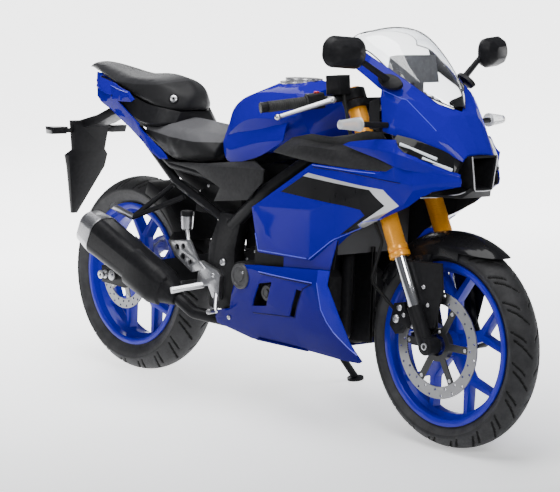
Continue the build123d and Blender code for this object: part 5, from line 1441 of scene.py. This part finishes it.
@dataclass
class SmallTrim:
    """Lines round the intake, seat lock, rear reservoir, fork guards and round engine covers."""

    # right half of each line, mirrored to the left
    mouth: tuple[Point, ...] = (
        (1463, -50, 816), (1463, -42, 770), (1463, -35, 726), (1463, -30, 723), (1463, 0, 722),
    )
    chin: tuple[Point, ...] = (
        (1315, -120, 699), (1340, -112, 696), (1388, -90, 702), (1433, -60, 713), (1449, -42, 724),
    )
    line_radius: float = 1.7
    guard: tuple[Pair, ...] = (
        (1268, 515), (1404, 522), (1412, 445), (1384, 341), (1362, 331), (1304, 402), (1274, 480),
    )
    guard_middle: Point = (1345.0, 0.0, 430.0)
    guard_y: float = 84.0
    guard_proud: float = 3.0
    guard_taper: float = 0.96
    lock_at: Pair = (211.0, 890.0)
    lock_radius: float = 11.0
    cap_at: Point = (388.0, -150.0, 546.0)
    cup_height: float = 44.0
    # columns: centre and radius of each round engine cover
    covers: tuple[tuple[Point, float], ...] = (((705, -203, 406), 38.0), ((812, -190, 370), 24.0))

    def build(self, shop: Shop) -> None:
        """Make the trim."""
        self.reservoir_cup(shop)
        self.fork_guards(shop)
        self.engine_covers(shop)
        self.nose_lines(shop)
        self.cap_and_lock(shop)

    def reservoir_cup(self, shop: Shop) -> None:
        """Make the rear reservoir below its cap."""
        cup = Stock(shop.space)
        low = Vector(self.cap_at) - Vector((0.0, 0.0, self.cup_height))
        profile = ((0.0, 9.0), (5.0, 17.0), (36.0, 19.0), (self.cup_height, 19.0))
        cup.lathe(low, Vector((0.0, 0.0, 1.0)), profile, 28)
        shop.hang(cup.piece(shop, "rear_reservoir_cup", "satin_silver"), Body.CHASSIS, "silver_metal")

    def fork_guards(self, shop: Shop) -> None:
        """Make the dark plate outside each fork leg."""
        shields = Stock(shop.space)
        middle = Vector(self.guard_middle)
        for way in (-1.0, 1.0):
            ring = [Vector((x, way * self.guard_y, z)) for x, z in self.guard]
            inner = [middle + (point - middle) * self.guard_taper for point in ring]
            out = Vector((0.0, way * self.guard_proud, 0.0))
            face = [Vector((point.x, way * self.guard_y, point.z)) + out * 1.6 for point in inner]
            shields.rings([ring, [point + out * 0.6 for point in ring], face])
        shop.hang(shields.piece(shop, "fork_guards", "black_satin_plastic"), Body.FORK, "black_plastic")

    def engine_covers(self, shop: Shop) -> None:
        """Make the round covers on the engine's right side."""
        stock = Stock(shop.space)
        for centre, wide in self.covers:
            profile = (
                (-8.0, wide), (4.0, wide), (7.0, wide - 3.0), (7.0, wide - 9.0),
                (4.5, wide - 11.0), (4.5, wide * 0.45), (8.0, wide * 0.4), (8.0, 3.0),
            )
            stock.lathe(Vector(centre), Vector((0.0, -1.0, 0.0)), profile, 40)
        shop.hang(stock.piece(shop, "engine_covers", "cover_paint"), Body.CHASSIS, "engine_metal")

    def nose_lines(self, shop: Shop) -> None:
        """Make the bright lines round the mouth and along the chin."""
        stock = Stock(shop.space)
        left_half = [Vector((x, -y, z)) for x, y, z in reversed(self.mouth[:-1])]
        stock.sweep([*map(Vector, self.mouth), *left_half], self.line_radius, 8)
        for way in (-1.0, 1.0):
            stock.sweep([Vector((x, -way * y, z)) for x, y, z in self.chin], self.line_radius, 8)
        shop.hang(stock.piece(shop, "nose_lines", "satin_silver"), Body.CHASSIS, "black_plastic")

    def cap_and_lock(self, shop: Shop) -> None:
        """Make the reservoir's cap, and the lock with its bezel on the pillion seat."""
        caps, lock = Stock(shop.space), Stock(shop.space)
        profile = ((0.0, 18.0), (0.0, 20.5), (14.0, 20.5), (17.0, 17.0), (17.0, 6.0))
        caps.lathe(Vector(self.cap_at), Vector((0.0, 0.0, 1.0)), profile, 24)
        seat = bpy.data.objects["pillion_seat_piece"]
        met = shop.touch(self.lock_at[0], -1.0, self.lock_at[1], seat)
        if met:
            wide = self.lock_radius
            bezel = ((-6.0, wide + 5.0), (1.5, wide + 5.0), (3.0, wide + 3.0), (2.0, wide))
            caps.lathe(met[0], met[1], bezel, 28)
            barrel = ((-5.0, wide), (2.5, wide), (3.5, wide - 1.5), (3.5, 4.0), (1.0, 3.0))
            lock.lathe(met[0], met[1], barrel, 28)
        shop.hang(caps.piece(shop, "caps", "black_satin_plastic"), Body.CHASSIS, "black_plastic")
        if lock.points:
            shop.hang(lock.piece(shop, "seat_lock", "bolt_zinc"), Body.CHASSIS, "steel")


@dataclass
class Studio:
    """Pale floor and backdrop, soft lights and the camera of the photograph."""

    eye: Point = (5381.337, -4262.818, 1302.354)
    right: Point = (0.66572053, 0.74552786, 0.0316919)
    up: Point = (-0.11703497, 0.06237273, 0.99116722)
    back: Point = (0.73696607, -0.66354943, 0.12877563)
    focal_px: float = 2137.31
    backdrop_way: Point = (-0.743, 0.669, 0.0)
    backdrop_span: Pair = (-1.1, 2.0)
    backdrop_glow: float = 3.8
    # columns: name, place, target, size, power
    lights: tuple[tuple[str, Point, Point, float, float], ...] = (
        ("overhead_softbox", (0.2, -0.3, 4.0), (0.0, 0.0, 0.5), 3.0, 230.0),
        ("side_softbox", (0.2, -4.4, 3.2), (0.1, 0.0, 0.6), 1.6, 50.0),
        ("front_softbox", (4.4, -1.6, 3.0), (0.4, 0.0, 0.8), 1.4, 120.0),
        ("rear_softbox", (-3.6, 1.8, 2.6), (0.0, 0.0, 0.7), 2.0, 60.0),
    )

    def build(self, shop: Shop) -> None:
        """Make the stage, lights and camera."""
        self.camera(shop.space)
        self.stage()
        for name, place, target, size, power in self.lights:
            lamp = bpy.data.lights.new(name, "AREA")
            lamp.shape, lamp.size, lamp.energy = "SQUARE", size, power
            holder = bpy.data.objects.new(name, lamp)
            holder.location = place
            holder.rotation_euler = (Vector(target) - Vector(place)).to_track_quat("-Z", "Y").to_euler()
            bpy.context.scene.collection.objects.link(holder)
        world = bpy.data.worlds.new("studio_air")
        world.use_nodes = True
        world.node_tree.nodes["Background"].inputs["Color"].default_value = (0.9, 0.93, 1.0, 1.0)
        world.node_tree.nodes["Background"].inputs["Strength"].default_value = 0.16
        bpy.context.scene.world = world

    def camera(self, space: BikeSpace) -> None:
        """Set the camera where the photograph was taken from."""
        lens = bpy.data.cameras.new("photo_view")
        lens.sensor_width = 36.0
        lens.lens = self.focal_px / PHOTO_WIDTH * lens.sensor_width
        lens.clip_end = 100.0
        holder = bpy.data.objects.new("photo_view", lens)
        axes = [space.turn @ Vector(axis) for axis in (self.right, self.up, self.back)]
        holder.matrix_world = Matrix.Translation(space.at(*self.eye)) @ Matrix(axes).transposed().to_4x4()
        bpy.context.scene.collection.objects.link(holder)
        bpy.context.scene.camera = holder

    def stage(self) -> None:
        """Make a flat pale floor that glows more the further it lies behind the bike, standing for the backdrop.
        """
        bpy.ops.object.select_all(action="DESELECT")
        bpy.ops.mesh.primitive_plane_add(size=60.0, location=(0.0, 0.0, 0.0))
        floor = bpy.context.object
        floor.name = "studio_floor"
        graph = Graph("floor_paper")
        paper = graph.noise(3.0, 4.0)
        graph.colour(graph.ramp(paper, (0.86, 0.87, 0.88), (0.9, 0.91, 0.92)))
        graph.rough(paper, 0.7, 0.8)
        depth = graph.vector("DOT_PRODUCT", graph.place.outputs["Object"], self.backdrop_way).outputs["Value"]
        glow = graph.span(depth, *self.backdrop_span, self.backdrop_glow)
        graph.tree.links.new(glow, graph.shader.inputs["Emission Strength"])
        graph.set(emission_color=(1.0, 1.0, 1.0, 1.0))
        floor.data.materials.append(graph.material)


def main() -> None:
    """Build the dressed bike and its studio."""
    logging.basicConfig(level=logging.INFO, format="%(message)s")
    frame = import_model()
    shop = Shop(frame)
    Studio().build(shop)
    HardParts().build(shop)
    Bodywork().build(shop)
    PaddedSeat("rider_seat", "rider_vinyl", ((124, 792), (252, 779), (377, 771), (462, 774))).build(shop)
    PaddedSeat("pillion_seat", "pillion_vinyl", ((-320, 930), (40, 925), (150, 930), (240, 960))).build(shop)
    Brake("front_disc", Body.FRONT_WHEEL, (1380.0, 292.0), -68.0, 115.0, 6).build(shop)
    Brake("rear_disc", Body.REAR_WHEEL, (0.0, 313.0), -84.0, 80.0, 5, (0.3, 0.3, 0.31)).build(shop)
    FrontLamps().build(shop)
    Windscreen().build(shop)
    HandControls().build(shop)
    FacedPart("mirrors", "black_satin_plastic", "mirror_glass", (-1.0, 0.25, 0.0)).build(shop)
    # the instrument's body is painted pale grey as painted reflection of the screen over it
    FacedPart("instrument", "dash_painted_reflection_grey", "dark_glass", (-1.0, 0.0, 0.3), 3.0, 0.7).build(shop)
    FacedPart("radiator", "black_paint", "radiator_core", (1.0, 0.0, 0.0)).build(shop)
    signal_zones = (
        ("clear_lens", (0.0, 250.0, 0.0), (2000.0, 400.0, 2000.0)),
        ("dark_glass", (-400.0, 112.0, 0.0), (-300.0, 200.0, 2000.0)),
    )
    ZonedPart("turn_signals", "black_satin_plastic", signal_zones, 3.0).build(shop)
    hanger_zone = (("black_paint", (150.0, 90.0, 500.0), (370.0, 200.0, 640.0)),)
    ZonedPart("footrests", "satin_silver", hanger_zone).build(shop)
    tank_zone = (("black_paint", (0.0, 0.0, 0.0), (2000.0, 400.0, 742.0)),)
    ZonedPart("fuel_tank", "blue_lacquer", tank_zone, 6.0).build(shop)
    tail_zone = (("blue_lacquer", (-400.0, 30.0, 840.0), (-70.0, 120.0, 1000.0)),)
    ZonedPart("tail_cover", "black_satin_plastic", tail_zone, 3.0, (-70.0,), 0.45).build(shop)
    TankSkirt().build(shop)
    InnerGuards().build(shop)
    CreaseLines().build(shop)
    SmallTrim().build(shop)
    # the muffler's outlet end is painted near-black as painted shade of the open pipe
    outlet_way = (-0.92, -0.06, 0.39)
    FacedPart("muffler_cap", "brushed_steel", "outlet_painted_shade", outlet_way, 2.0, 0.97, (20.0, 1.0e9)).build(shop)
    RoadTyre("front_tyre", Body.FRONT_WHEEL, (1380.0, 292.0), 292.0, 110.0, 37.7, 34.0).build(shop)
    RoadTyre("rear_tyre", Body.REAR_WHEEL, (0.0, 313.0), 313.0, 140.0, 50.7, 40.0).build(shop)
    Bolts().build(shop)


if __name__ == "__main__":
    main()
